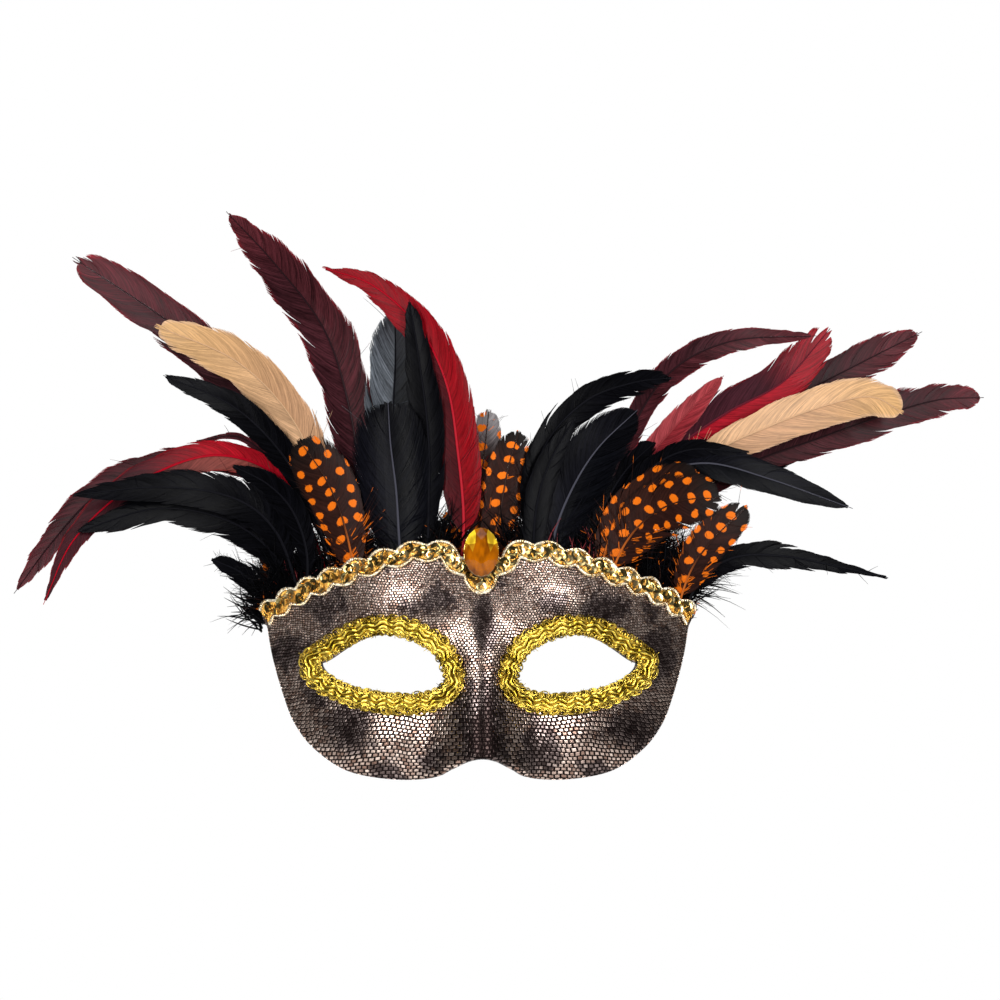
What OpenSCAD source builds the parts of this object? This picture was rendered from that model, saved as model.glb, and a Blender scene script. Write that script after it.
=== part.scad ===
// Venetian half mask: a moulded shell with a printed fabric cover, a felt lining, gold braid
// round the eyes, a sequin trim with a stone on the brow, and a fan of dyed feathers.
// Millimetres. The face looks along -Y, +Z is up, and x = 0 is the plane through the nose.
// The origin is at the bridge of the wearer's nose, just behind the lining.

/* [Shell] */
// Thickness of the moulded shell
shell_t = 1.2; // [0.8:0.1:1.6]
// How far the temples sit behind the brow
mask_depth = 36; // [26:1:42]
// Height of the nose ridge at the nostrils
nose_h = 20; // [12:1:22]

/* [Fabric] */
// Thickness of the printed cover
cover_t = 0.4; // [0.3:0.05:0.6]
// Width of the cover's hem, turned over the rim to the back
hem_w = 6; // [4:0.5:8]
// Thickness of the felt lining
lining_t = 0.8; // [0.6:0.1:1.2]

/* [Eye braid] */
// Width of the gold braid round each eye hole
braid_w = 7.4; // [6:0.2:9]
// Thickness of the braid's woven tape
braid_t = 0.9; // [0.6:0.1:1.4]

/* [Brow trim] */
// Width of the sequin ribbon between its edge cords
ribbon_w = 5; // [4.6:0.2:6]
// Diameter of one sequin
sequin_d = 4; // [3:0.5:4]
// Radius of the ribbon's edge cords
edge_cord_r = 0.6; // [0.4:0.1:0.7]

/* [Stone] */
// Width of the oval stone
stone_w = 13; // [10:1:14]
// Height of the oval stone
stone_h = 18; // [14:1:20]

/* [Elastic lugs] */
// Radius of the hole for the elastic cord
lug_hole_r = 1.5; // [1:0.1:1.8]
// Length of that hole
lug_len = 4; // [3:0.5:6]

/* [Hidden] */
$fn = 48;
half_w = 79;        // from the nose plane to the temple corner
brow_lean = 0.0025; // how fast the face falls back above and below the eyes, per mm
gap = 0.05;         // glue line between two glued layers
hem_t = cover_t;
step = 0.5;         // spacing for numerical slopes

// ---------------------------------------------------------------- names and parts

FEATHER_RED = [0.62, 0.05, 0.08];
FEATHER_WINE = [0.25, 0.07, 0.08];
FEATHER_BLACK = [0.06, 0.06, 0.08];
FEATHER_TAN = [0.85, 0.62, 0.40];
FEATHER_GUINEA = [0.75, 0.35, 0.08];

// Each feather: name, layer counted from the front, the points (x, z) that its shaft passes
// through from root to tip, widest width, base and tip exponents of its outline, how far its
// tip curls back (or forward, if negative), and its colour.
FEATHERS = [
  ["left_wine_high", 8, [[-49, 33], [-61, 62], [-80, 93], [-108, 124], [-151, 154]],
   20, 0.7, 0.3, 8, FEATHER_WINE],
  ["left_tan", 6, [[-48, 35], [-57, 62], [-68, 91], [-89, 114], [-120, 128]],
   19, 0.6, 0.35, 4, FEATHER_TAN],
  ["left_black_slim", 4, [[-54, 34], [-62, 60], [-74, 81], [-92, 98], [-117, 109]],
   12, 0.6, 0.5, -4, FEATHER_BLACK],
  ["left_wine_wisp", 10, [[-58, 32], [-66, 58], [-76, 76], [-89, 86], [-105, 84]],
   4, 0.7, 0.8, 4, FEATHER_WINE],
  ["left_red_arch", 7, [[-55, 32], [-70, 67], [-96, 79], [-126, 69], [-150, 48], [-162, 23]],
   14, 0.7, 0.9, -8, FEATHER_RED],
  ["left_wine_droop", 9, [[-60, 31], [-72, 64], [-94, 76], [-119, 75], [-142, 64], [-159, 46], [-173, 27]],
   14, 0.7, 0.6, 0, FEATHER_WINE],
  ["left_black_droop_high", 3, [[-66, 25], [-75, 50], [-91, 63], [-118, 67], [-152, 64]],
   17, 0.5, 0.7, -6, FEATHER_BLACK],
  ["left_black_droop_low", 5, [[-69, 23], [-76, 42], [-94, 55], [-120, 59], [-150, 50]],
   17, 0.5, 0.6, -2, FEATHER_BLACK],
  ["left_black_curl", 2, [[-64, 25], [-64, 43], [-69, 58], [-78, 68], [-91, 75]],
   12, 0.6, 0.6, 3, FEATHER_BLACK],
  ["left_guinea_large", 1, [[-46, 29], [-48, 44], [-52, 59], [-58, 72], [-67, 85]],
   23, 0.5, 0.35, -3, FEATHER_GUINEA],
  ["left_guinea_small", 7, [[-72, 20], [-74, 29], [-76, 39], [-79, 50]],
   12, 0.5, 0.4, 2, FEATHER_GUINEA],
  ["left_black_low", 8, [[-76, 17], [-80, 27], [-88, 35], [-99, 40]], 13, 0.4, 0.6, 2, FEATHER_BLACK],
  ["left_wine_tall", 7, [[-40, 31], [-43, 62], [-48, 97], [-57, 126], [-75, 151], [-93, 171]],
   22, 0.6, 0.6, 10, FEATHER_WINE],
  ["left_red_tall", 4, [[-8, 30], [-6, 54], [-8, 80], [-12, 105], [-22, 126], [-39, 142], [-58, 149]],
   19, 0.4, 0.8, -10, FEATHER_RED],
  ["left_black_grey", 5, [[-25, 31], [-30, 60], [-32, 88], [-31, 113], [-31, 134]],
   24, 0.8, 0.5, 0, FEATHER_BLACK],
  ["left_black_broad", 2, [[-29, 32], [-30, 49], [-31, 66], [-33, 83], [-34, 99]],
   31, 0.45, 0.3, -6, FEATHER_BLACK],
  ["left_black_inner", 3, [[-20, 31], [-19, 58], [-19, 86], [-22, 112], [-26, 137]],
   14, 0.6, 0.6, -5, FEATHER_BLACK],
  ["centre_guinea_left", 7, [[-3, 26], [-4, 38], [-7, 48], [-12, 58]],
   14, 0.5, 0.35, 0, FEATHER_GUINEA],
  ["centre_guinea_tall", 8, [[0, 25], [0, 43], [0, 61], [2, 79], [4, 96]],
   13, 0.6, 0.3, 2, FEATHER_GUINEA],
  ["centre_guinea_right", 6, [[3, 26], [5, 44], [8, 60], [11, 75], [15, 88]],
   18, 0.5, 0.35, -2, FEATHER_GUINEA],
  ["right_black_sweep", 4, [[17, 31], [18, 60], [25, 83], [40, 99], [58, 106], [74, 108]],
   15, 0.6, 0.6, -4, FEATHER_BLACK],
  ["right_wine_sweep", 6, [[33, 31], [47, 62], [59, 91], [74, 111], [97, 122], [129, 124]],
   13, 0.7, 0.6, -8, FEATHER_WINE],
  ["right_black_broad", 3, [[25, 31], [28, 50], [35, 67], [45, 82], [60, 96]],
   26, 0.5, 0.5, 0, FEATHER_BLACK],
  ["right_black_inner", 2, [[21, 31], [20, 48], [22, 64], [27, 78], [36, 93]],
   12, 0.5, 0.6, -3, FEATHER_BLACK],
  ["right_black_mid", 5, [[38, 32], [42, 48], [48, 62], [56, 74], [67, 84]],
   18, 0.5, 0.5, 2, FEATHER_BLACK],
  ["right_red_long", 8, [[44, 33], [59, 62], [75, 81], [95, 95], [117, 107], [135, 127]],
   19, 0.6, 0.3, 0, FEATHER_RED],
  ["right_red_short", 7, [[41, 33], [53, 58], [63, 76], [77, 92], [94, 109]],
   12, 0.5, 0.5, 2, FEATHER_RED],
  ["right_wine_high", 10, [[51, 33], [67, 61], [90, 83], [116, 98], [143, 112], [171, 126]],
   17, 0.7, 0.35, 8, FEATHER_WINE],
  ["right_tan", 5, [[55, 33], [71, 62], [90, 80], [111, 90], [133, 98], [150, 101], [162, 95]],
   18, 0.6, 0.35, -4, FEATHER_TAN],
  ["right_wine_outer", 9, [[59, 32], [77, 58], [102, 75], [129, 85], [155, 94], [176, 100], [194, 101]],
   17, 0.7, 0.4, 4, FEATHER_WINE],
  ["right_black_under", 11, [[62, 31], [74, 56], [93, 70], [112, 76], [133, 83]],
   9, 0.6, 0.6, 4, FEATHER_BLACK],
  ["right_black_arch", 3, [[48, 32], [53, 56], [64, 73], [80, 81], [103, 80]],
   10, 0.6, 0.7, 0, FEATHER_BLACK],
  ["right_black_outer", 4, [[51, 31], [58, 54], [69, 71], [87, 76], [111, 70], [142, 59]],
   14, 1.0, 0.6, -6, FEATHER_BLACK],
  ["right_guinea_large", 1, [[47, 29], [54, 45], [64, 56], [77, 62], [92, 63]],
   25, 0.45, 0.35, -2, FEATHER_GUINEA],
  ["right_guinea_upper", 2, [[44, 29], [48, 46], [56, 58], [68, 67], [84, 72]],
   18, 0.5, 0.35, 0, FEATHER_GUINEA],
  ["right_guinea_small", 0, [[74, 20], [80, 36], [89, 48], [102, 60]], 18, 0.5, 0.4, 0, FEATHER_GUINEA],
  ["right_black_low", 2, [[76, 17], [84, 33], [98, 41], [117, 41], [137, 37], [155, 33]],
   13, 0.4, 1.1, -4, FEATHER_BLACK],
];
BACKING_LAYER = 12.5; // the felt strip lies behind the last quill

// ---------------------------------------------------------------- outlines in (x, z)

// Right half of the mask's outline, from the dip of the brow round to the nose arch.
OUTLINE = [
  [0, 34], [7, 40], [15.5, 45.5], [29, 44], [47, 38], [65, 30.5], [79, 21], [78, 14],
  [76, 3], [72, -11], [68, -21], [61, -30], [49, -38], [33, -41], [19, -40.5], [12, -37],
  [6, -34], [0, -33]
];
BROW_SPANS = 6;   // spans of OUTLINE that belong to the brow
SPAN_STEPS = 3;   // facets in each span
BRIDGE_STEPS = 14; // facets along the nose plane
RINGS = 4;        // facets between an eye hole and the outline

EYE_IN = [13.2, -4.1]; // inner corner of the right eye hole
EYE_W = 45.5;          // from the inner to the outer corner
EYE_RISE = 5.7;        // how much higher the outer corner is
EYE_TOP = 14.6;        // height of the upper lid over the line through the corners
EYE_BOTTOM = 8;        // depth of the lower lid under it
EYE_MID = [EYE_IN[0] + EYE_W / 2, EYE_IN[1] + EYE_RISE / 2];

function eye_point(a) =
  let (r = (1 - cos(a)) / 2, s = sin(a))
  [EYE_IN[0] + EYE_W * r,
   EYE_IN[1] + EYE_RISE * r + (s > 0 ? EYE_TOP * s * (1 - pow(r, 3.6)) : EYE_BOTTOM * s)];

function unit(v) = v / norm(v);
function clamp(v, lo, hi) = max(lo, min(hi, v));
function mix(a, b, t) = a + (b - a) * t;

function spline(a, b, c, d, t) =
  0.5 * (2 * b + (c - a) * t + (2 * a - 5 * b + 4 * c - d) * t * t + (3 * b - a - 3 * c + d) * t * t * t);
function mirrored(p) = [-p[0], p[1]];
function outline_point(i, t) =
  let (n = len(OUTLINE),
       a = i > 0 ? OUTLINE[i - 1] : mirrored(OUTLINE[1]),
       d = i < n - 2 ? OUTLINE[i + 2] : mirrored(OUTLINE[n - 2]))
  spline(a, OUTLINE[i], OUTLINE[i + 1], d, t);

// The outline's samples, then those up the nose plane back to the brow's dip.
RIM = concat([for (i = [0 : len(OUTLINE) - 2], k = [0 : SPAN_STEPS - 1]) outline_point(i, k / SPAN_STEPS)],
             [OUTLINE[len(OUTLINE) - 1]]);
N_RIM = len(RIM);
LOOP = concat(RIM, [for (k = [1 : BRIDGE_STEPS - 1])
                    mix(OUTLINE[len(OUTLINE) - 1], OUTLINE[0], k / BRIDGE_STEPS)]);
N_LOOP = len(LOOP);

// The eye hole's point on the ray from the eye's middle to a point of the outline.
function lid_angle(q) =
  let (a = atan2((q[1] - EYE_MID[1]) / (EYE_W / 4), -(q[0] - EYE_MID[0]) / (EYE_W / 2))) a < 0 ? a + 360 : a;

// ---------------------------------------------------------------- the face's surface

function bump(x, z, cx, cz, sx, sz) = exp(-pow((abs(x) - cx) / sx, 2) - pow((z - cz) / sz, 2));
function nose(x, z) =
  let (u = clamp((30 - z) / 64, 0, 1.1), spread = 8 + 6 * u)
  nose_h * pow(u, 1.35) * exp(-pow(x / spread, 2));
function face_y(x, z) =
  mask_depth * pow(x / half_w, 2) + brow_lean * z * z - nose(x, z)
  - 4 * bump(x, z, 36, -27, 20, 13)
  - 3 * bump(x, z, 30, 27, 22, 10)
  + 2.5 * bump(x, z, EYE_MID[0], 1, 26, 12);

// A point at depth t behind the shell's front face, measured square to it.
function skin(p, t) =
  let (x = p[0], z = p[1],
       sx = (face_y(x + step, z) - face_y(x - step, z)) / (2 * step),
       sz = (face_y(x, z + step) - face_y(x, z - step)) / (2 * step),
       n = unit([-sx, 1, -sz]))
  [x, face_y(x, z), z] + t * n;
function mirror_x(p) = [-p[0], p[1], p[2]];

// ---------------------------------------------------------------- layers of the mask

// A sheet that follows the face from depth t0 to t1, with both eye holes. It stops hole_in
// outside each eye hole and rim_in inside the outline.
module face_sheet(t0, t1, hole_in, rim_in) {
  grid = [for (q = LOOP)
    let (p = eye_point(lid_angle(q)), d = unit(q - p),
         a = p + d * hole_in, b = q - d * (q[0] > 0.001 ? rim_in : 0))
    [for (j = [0 : RINGS]) mix(a, b, j / RINGS)]];
  half = N_LOOP * (RINGS + 1);
  front = [for (row = grid, p = row) skin(p, t0)];
  back = [for (row = grid, p = row) skin(p, t1)];
  points = concat(front, back, [for (p = front) mirror_x(p)], [for (p = back) mirror_x(p)]);
  // Samples on the nose plane belong to both halves, so the left half borrows the right's.
  function on_plane(i, j) = j == RINGS && (i == 0 || i >= N_RIM - 1);
  function at(side, face, i, j) =
    let (k = i % N_LOOP) (on_plane(k, j) ? 0 : side * 2 * half) + face * half + k * (RINGS + 1) + j;
  function turned(side, f) = side == 0 ? f : [f[2], f[1], f[0]];
  function quad(side, a, b, c, d) = [turned(side, [a, b, c]), turned(side, [a, c, d])];
  faces = [for (side = [0, 1], i = [0 : N_LOOP - 1])
    each concat(
      [for (j = [0 : RINGS - 1]) each concat(
        quad(side, at(side, 0, i, j), at(side, 0, i, j + 1),
                   at(side, 0, i + 1, j + 1), at(side, 0, i + 1, j)),
        quad(side, at(side, 1, i, j), at(side, 1, i + 1, j),
                   at(side, 1, i + 1, j + 1), at(side, 1, i, j + 1)))],
      quad(side, at(side, 0, i, 0), at(side, 0, i + 1, 0), at(side, 1, i + 1, 0), at(side, 1, i, 0)),
      i < N_RIM - 1
        ? quad(side, at(side, 0, i, RINGS), at(side, 1, i, RINGS),
                     at(side, 1, i + 1, RINGS), at(side, 0, i + 1, RINGS))
        : [])];
  polyhedron(points, faces, convexity = 8);
}

// A closed or open sweep: rings holds one list of points for each station. A quad is split along
// one diagonal, or along the other on the sides named in across, so that a thin piece's two
// faces bend alike.
module swept(rings, closed = false, across = []) {
  n = len(rings);
  m = len(rings[0]);
  last = closed ? n - 1 : n - 2;
  faces = concat(
    [for (i = [0 : last], j = [0 : m - 1])
      let (a = i * m + j,
           b = i * m + (j + 1) % m,
           c = ((i + 1) % n) * m + (j + 1) % m,
           d = ((i + 1) % n) * m + j)
      each len(search(j, across)) > 0 ? [[a, b, d], [b, c, d]] : [[a, b, c], [a, c, d]]],
    closed ? [] : [[for (j = [m - 1 : -1 : 0]) j], [for (j = [0 : m - 1]) (n - 1) * m + j]]);
  polyhedron([for (r = rings, p = r) p], faces, convexity = 6);
}

module mask_shell() {
  color([0.10, 0.09, 0.10]) face_sheet(0, shell_t, 0, 0);
}

module printed_cover() {
  color([0.42, 0.30, 0.26]) face_sheet(-cover_t, -gap, 0, 0);
}

module face_lining() {
  t = shell_t + hem_t + 2 * gap;
  color([0.05, 0.05, 0.06]) face_sheet(t, t + lining_t, 1.2, 1.5);
}

// The cover's edge, wrapped round the rim and glued to the back of the shell.
module cover_hem() {
  whole = concat(RIM, [for (i = [N_RIM - 2 : -1 : 1]) mirrored(RIM[i])]);
  rings = [for (q = whole)
    let (m = q[0] < 0 ? mirrored(q) : q,
         p = eye_point(lid_angle(m)),
         d = m[0] < 0.001 ? [0, m[1] > 0 ? -1 : 1] : unit(p - m),
         b = shell_t + gap,
         section = [[-gap, -cover_t], [-gap, b], [hem_w, b], [hem_w, b + hem_t],
                    [-gap - hem_t, b + hem_t], [-gap - hem_t, -cover_t]],
         ring = [for (s = section) skin(m + d * s[0], s[1])])
    q[0] < 0 ? [for (r = ring) mirror_x(r)] : ring];
  color([0.30, 0.21, 0.19]) swept(rings, closed = true);
}

// ---------------------------------------------------------------- eye braid

EYE_STEPS = 48;
function eye_out(a) =
  let (e = 1, d = unit(eye_point(a + e) - eye_point(a - e))) [-d[1], d[0]];
// A point on the cover beside the eye hole: w outside its edge, and h above the cover.
function by_eye(a, w, h) = skin(eye_point(a) + eye_out(a) * w, -cover_t - gap - h);

module eye_braid() {
  rings = [for (i = [0 : EYE_STEPS - 1])
    let (a = -i * 360 / EYE_STEPS)
    [by_eye(a, 0, 0), by_eye(a, 0, braid_t), by_eye(a, braid_w, braid_t), by_eye(a, braid_w, 0)]];
  color([0.80, 0.62, 0.12]) swept(rings, closed = true);
}

// The braid's two thick cords, which weave from side to side along it.
module eye_cords() {
  waves = 21;
  steps = 105;
  r = 0.7;
  for (lane = [0.385, 0.615]) {
    rings = [for (i = [0 : steps - 1])
      let (a = i * 360 / steps, w = braid_w * lane + 0.5 * sin(waves * a), h = braid_t + gap + r)
      [for (k = [0 : 3]) by_eye(a, w + r * cos(90 * k + 45), h + r * sin(90 * k + 45))]];
    color([0.92, 0.75, 0.20]) swept(rings, closed = true);
  }
}

// ---------------------------------------------------------------- brow trim

// The trim's middle line: the brow's edge, a little inside it, from the left temple to the right.
RIBBON_IN = 2.5;
BROW_OUT = 1;      // how far the trim's ends pass the shell's corners
function brow_at(i, t) = outline_point(i, t) - [0, RIBBON_IN];
BROW_HALF = [for (i = [0 : BROW_SPANS - 1], k = [0 : 3]) brow_at(i, k / 4)];
BROW = concat([[-half_w - BROW_OUT, OUTLINE[BROW_SPANS][1] - RIBBON_IN]],
              [for (i = [len(BROW_HALF) - 1 : -1 : 1]) mirrored(BROW_HALF[i])],
              BROW_HALF, [[half_w + BROW_OUT, OUTLINE[BROW_SPANS][1] - RIBBON_IN]]);
function lengths(p, i = 0, s = 0) =
  concat([s], i < len(p) - 1 ? lengths(p, i + 1, s + norm(p[i + 1] - p[i])) : []);
BROW_S = lengths(BROW);
BROW_LEN = BROW_S[len(BROW_S) - 1];
BROW_X = [for (i = [0 : len(BROW) - 1]) [BROW_S[i], BROW[i][0]]];
BROW_Z = [for (i = [0 : len(BROW) - 1]) [BROW_S[i], BROW[i][1]]];
function brow_point(s) = [lookup(s, BROW_X), lookup(s, BROW_Z)];
function brow_side(s) =
  let (d = unit(brow_point(s + 1) - brow_point(s - 1))) [-d[1], d[0]];
SCALLOP = 12;          // length of one scallop of the trim's edges, at the middle of the brow
SCALLOP_GAIN = 2.2e-6; // how fast the scallops grow shorter towards the temples
SCALLOP_H = 2.2;       // depth of the notches between them
TRIM_W = ribbon_w + 2 * gap + 4 * edge_cord_r;
RIBBON_T = 0.6;
// A point on the trim: s along it, w across it, h above the cover. A scallop of the upper edge stands
// over a notch of the lower edge.
function on_trim(s, w, h) =
  let (u = clamp(s, 1, BROW_LEN - 1),
       mid = u - BROW_LEN / 2,
       turn = 180 * (mid / SCALLOP + SCALLOP_GAIN * pow(mid, 3)),
       up = abs(sin(turn)),
       down = abs(cos(turn)),
       spread = 1 + SCALLOP_H * (up + down - 1.27) / TRIM_W,
       swing = SCALLOP_H * (up - down) / 2)
  skin(brow_point(u) + brow_side(u) * (w * spread + swing), -cover_t - gap - h);

TRIM_STEPS = 140;
module brow_ribbon() {
  rings = [for (i = [0 : TRIM_STEPS])
    let (s = 1 + i * (BROW_LEN - 2) / TRIM_STEPS, w = ribbon_w / 2)
    [on_trim(s, -w, 0), on_trim(s, w, 0), on_trim(s, w, RIBBON_T), on_trim(s, -w, RIBBON_T)]];
  color([0.78, 0.62, 0.36]) swept(rings);
}

module brow_edge_cords() {
  r = edge_cord_r;
  for (side = [-1, 1]) {
    rings = [for (i = [0 : TRIM_STEPS])
      let (s = 1 + i * (BROW_LEN - 2) / TRIM_STEPS, w = side * (ribbon_w / 2 + gap + r))
      [for (k = [0 : 3]) on_trim(s, w + r * cos(90 * k + 45), r * (1 + sin(90 * k + 45)))]];
    color([0.95, 0.82, 0.50]) swept(rings);
  }
}

// Turns what is drawn along +Z to point along the direction v.
module facing(v) {
  rotate([0, acos(v[2] / norm(v)), atan2(v[1], v[0])]) children();
}

module sequin() {
  thick = 0.25;
  difference() {
    cylinder(h = thick, d = sequin_d, $fn = 24);
    translate([0, 0, -1]) cylinder(h = thick + 2, d = 1, $fn = 16);
  }
}

module brow_sequins() {
  pitch = sequin_d + 0.3;
  count = floor((BROW_LEN - sequin_d - 2) / pitch);
  start = (BROW_LEN - (count - 1) * pitch) / 2;
  color([0.98, 0.86, 0.55])
    for (i = [0 : count - 1])
      let (s = start + i * pitch, a = on_trim(s, 0, RIBBON_T + 0.5), b = on_trim(s, 0, RIBBON_T + 1.5))
      translate(a) facing(b - a) sequin();
}

// ---------------------------------------------------------------- stone

STONE_Z = 43;
STONE_Y = face_y(0, 34) - cover_t - RIBBON_T - 2 * edge_cord_r - 1.2;
FOIL_T = 0.3;
PAD_T = 1;
function oval(k, n, scale, y) =
  [stone_w / 2 * scale * cos(360 * k / n), y, stone_h / 2 * scale * sin(360 * k / n)];

// A felt oval that carries the stone over the brow's edge, glued to the trim below it.
module stone_pad() {
  n = 32;
  rings = [for (y = [PAD_T, 0]) [for (k = [0 : n - 1]) oval(k, n, 0.92, y)]];
  color([0.30, 0.20, 0.08]) translate([0, STONE_Y + gap, STONE_Z - 1]) swept(rings);
}

module stone() {
  n = 16;
  levels = [[1, 0], [1, -0.9], [0.82, -2.6], [0.52, -3.7]];
  rings = [for (j = [0 : len(levels) - 1])
    [for (k = [0 : n - 1]) oval(k + (j % 2) / 2, n, levels[j][0], levels[j][1])]];
  color([0.90, 0.52, 0.05]) translate([0, STONE_Y - FOIL_T - gap, STONE_Z]) swept(rings);
}

module stone_foil() {
  n = 32;
  rings = [for (y = [0, -FOIL_T]) [for (k = [0 : n - 1]) oval(k, n, 0.97, y)]];
  color([0.85, 0.75, 0.45]) translate([0, STONE_Y, STONE_Z]) swept(rings);
}

// ---------------------------------------------------------------- feathers

// How far back the fan of feathers lies: it follows the brow, then flattens out past it.
FAN_X = 72;
FAN_Z = 45;
function past(v, from, slope, flat, soft) =
  let (d = max(0, v - from)) flat * d + (slope - flat) * soft * (1 - exp(-d / soft));
function fan_y(x, z) =
  let (u = min(abs(x), FAN_X), w = min(z, FAN_Z), curve = mask_depth / pow(half_w, 2))
  curve * u * u + past(abs(x), FAN_X, 2 * curve * FAN_X, 0.15, 20)
  + brow_lean * w * w + past(z, FAN_Z, 2 * brow_lean * FAN_Z, 0.12, 20)
  + shell_t + hem_t + lining_t + 0.6 + 1.2 * pow(min(1, abs(x) / half_w), 2);

// Height over the brow's edge, which spaces the layers of the fan.
EDGE = [[0, 34], [15, 45], [29, 44], [47, 38], [65, 30], [79, 21], [200, -100]];
function layer_step(x, z) =
  let (h = z - lookup(abs(x), EDGE)) clamp(0.84 + 0.04 * min(h, 0), 0.36, 0.84) + 0.012 * clamp(h, 0, 130);
function fan_point(x, z, layer, back) = [x, fan_y(x, z) + layer * layer_step(x, z) + back, z];

// The shaft's point at t from 0 to 1: a spline through the feather's own points.
function shaft(p, t) =
  let (n = len(p), u = clamp(t, 0, 1) * (n - 1), i = min(floor(u), n - 2),
       a = i > 0 ? p[i - 1] : 2 * p[0] - p[1],
       d = i < n - 2 ? p[i + 2] : 2 * p[n - 1] - p[n - 2])
  spline(a, p[i], p[i + 1], d, u - i);
function outline_share(t, p, q) =
  let (top = p / (p + q)) pow(t, p) * pow(1 - t, q) / (pow(top, p) * pow(1 - top, q));

QUILL_W = 1.5;
VANE_START = 0.14; // where the vane begins along the shaft
FEATHER_STEPS = 14;
module feather(layer, p, width, base, tip, curl) {
  rings = [for (i = [0 : FEATHER_STEPS])
    let (t = i / FEATHER_STEPS,
         c = shaft(p, t),
         d = unit(shaft(p, t + 0.02) - shaft(p, t - 0.02)),
         side = [-d[1], d[0]],
         v = clamp((t - VANE_START) / (0.985 - VANE_START), 0.0001, 0.9999),
         w = max(QUILL_W, width * outline_share(v, base, tip)) / 2,
         thick = w > QUILL_W ? 0.34 : 0.3,
         a = c - side * w,
         b = c + side * w,
         bend = curl * pow(t, 3),
         arch = 0.03 * w)
    [fan_point(a[0], a[1], layer, bend + arch), fan_point(c[0], c[1], layer, bend - thick),
     fan_point(b[0], b[1], layer, bend + arch), fan_point(c[0], c[1], layer, bend + thick)]];
  swept(rings, across = [2, 3]);
}

module feather_named(name) {
  for (f = FEATHERS) if (f[0] == name) color(f[7]) feather(f[1], f[2], f[3], f[4], f[5], f[6]);
}

// ---------------------------------------------------------------- what holds the feathers

// A strip behind the brow's edge: below and above are heights under the edge, at a fan layer.
module behind_brow(below, above, layer, thick, reach) {
  n = 40;
  rings = [for (i = [0 : n])
    let (s = mix(BROW_LEN / 2 - reach, BROW_LEN / 2 + reach, i / n), p = brow_point(s), d = brow_side(s),
         lo = p - d * below, hi = p - d * above)
    [fan_point(lo[0], lo[1], layer, 0), fan_point(hi[0], hi[1], layer, 0),
     fan_point(hi[0], hi[1], layer, thick), fan_point(lo[0], lo[1], layer, thick)]];
  swept(rings);
}

module quill_glue_bead() {
  color([0.85, 0.82, 0.70]) behind_brow(9, 6, BACKING_LAYER, 0.8, BROW_LEN / 2 - 7);
}

module feather_backing_strip() {
  color([0.06, 0.06, 0.07]) behind_brow(12, 2, BACKING_LAYER + 2.8, 0.8, BROW_LEN / 2 - 5);
}

// ---------------------------------------------------------------- lugs for the elastic

LUG_X = 68;
LUG_Z = 4;
LUG_WALL = 1.4;
LUG_BASE = [9, 1.2, 7];
module elastic_lug() {
  seat = skin([LUG_X, LUG_Z], shell_t + hem_t + lining_t + 0.35);
  ahead = skin([LUG_X, LUG_Z], shell_t + hem_t + lining_t + 1.35);
  turn = atan2(ahead[1] - seat[1], ahead[0] - seat[0]) - 90;
  color([0.08, 0.08, 0.09]) translate(seat) rotate([0, 0, turn]) difference() {
    union() {
      translate([-LUG_BASE[0] / 2, 0, -LUG_BASE[2] / 2]) cube(LUG_BASE);
      translate([0, LUG_BASE[1] + lug_hole_r + 0.4, -lug_len / 2])
        cylinder(h = lug_len, r = lug_hole_r + LUG_WALL);
    }
    translate([0, LUG_BASE[1] + lug_hole_r + 0.4, -lug_len]) cylinder(h = 2 * lug_len, r = lug_hole_r);
  }
}

// ---------------------------------------------------------------- nodes

mask_shell();
printed_cover();
cover_hem();
face_lining();
mirror([1, 0, 0]) eye_braid();  // eye_braid_left
eye_braid();  // eye_braid_right
mirror([1, 0, 0]) eye_cords();  // eye_cords_left
eye_cords();  // eye_cords_right
brow_ribbon();
brow_edge_cords();
brow_sequins();
stone();
stone_foil();
stone_pad();
quill_glue_bead();
feather_backing_strip();
mirror([1, 0, 0]) elastic_lug();  // elastic_lug_left
elastic_lug();  // elastic_lug_right
for (f = FEATHERS)
  feather_named(f[0]);
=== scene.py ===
# Looks of the venetian half mask: feathers built barb by barb, foil snakeskin cover, felt lining,
# gold braid, sequin trim and a faceted stone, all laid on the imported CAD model.
import math

import bmesh
import bpy
import numpy as np
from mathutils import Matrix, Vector


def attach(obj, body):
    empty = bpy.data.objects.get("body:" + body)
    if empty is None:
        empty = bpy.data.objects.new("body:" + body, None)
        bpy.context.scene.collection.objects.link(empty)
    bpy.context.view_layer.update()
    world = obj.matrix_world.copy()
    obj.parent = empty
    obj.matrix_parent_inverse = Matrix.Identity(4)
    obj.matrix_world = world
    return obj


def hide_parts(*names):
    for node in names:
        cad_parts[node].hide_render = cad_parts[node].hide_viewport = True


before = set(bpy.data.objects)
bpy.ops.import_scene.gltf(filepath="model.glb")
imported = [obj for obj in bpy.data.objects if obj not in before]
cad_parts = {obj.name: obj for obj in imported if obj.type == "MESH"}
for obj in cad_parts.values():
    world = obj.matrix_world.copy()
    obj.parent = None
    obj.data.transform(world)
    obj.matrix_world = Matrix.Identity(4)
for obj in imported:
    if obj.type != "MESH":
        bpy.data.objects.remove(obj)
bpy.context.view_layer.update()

MM = 0.001

# ---------------------------------------------------------------- camera

VIEW_CENTRE = (7.0, 62.2)  # x and z at the middle of the picture, mm
VIEW_TURN = 2.0            # degrees that the camera stands to the left of the mask's middle
VIEW_WIDTH = 370.4         # mm across the picture at the face
VIEW_DISTANCE = 5000.0     # mm
SENSOR = 36.0              # mm across the camera's sensor

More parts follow.
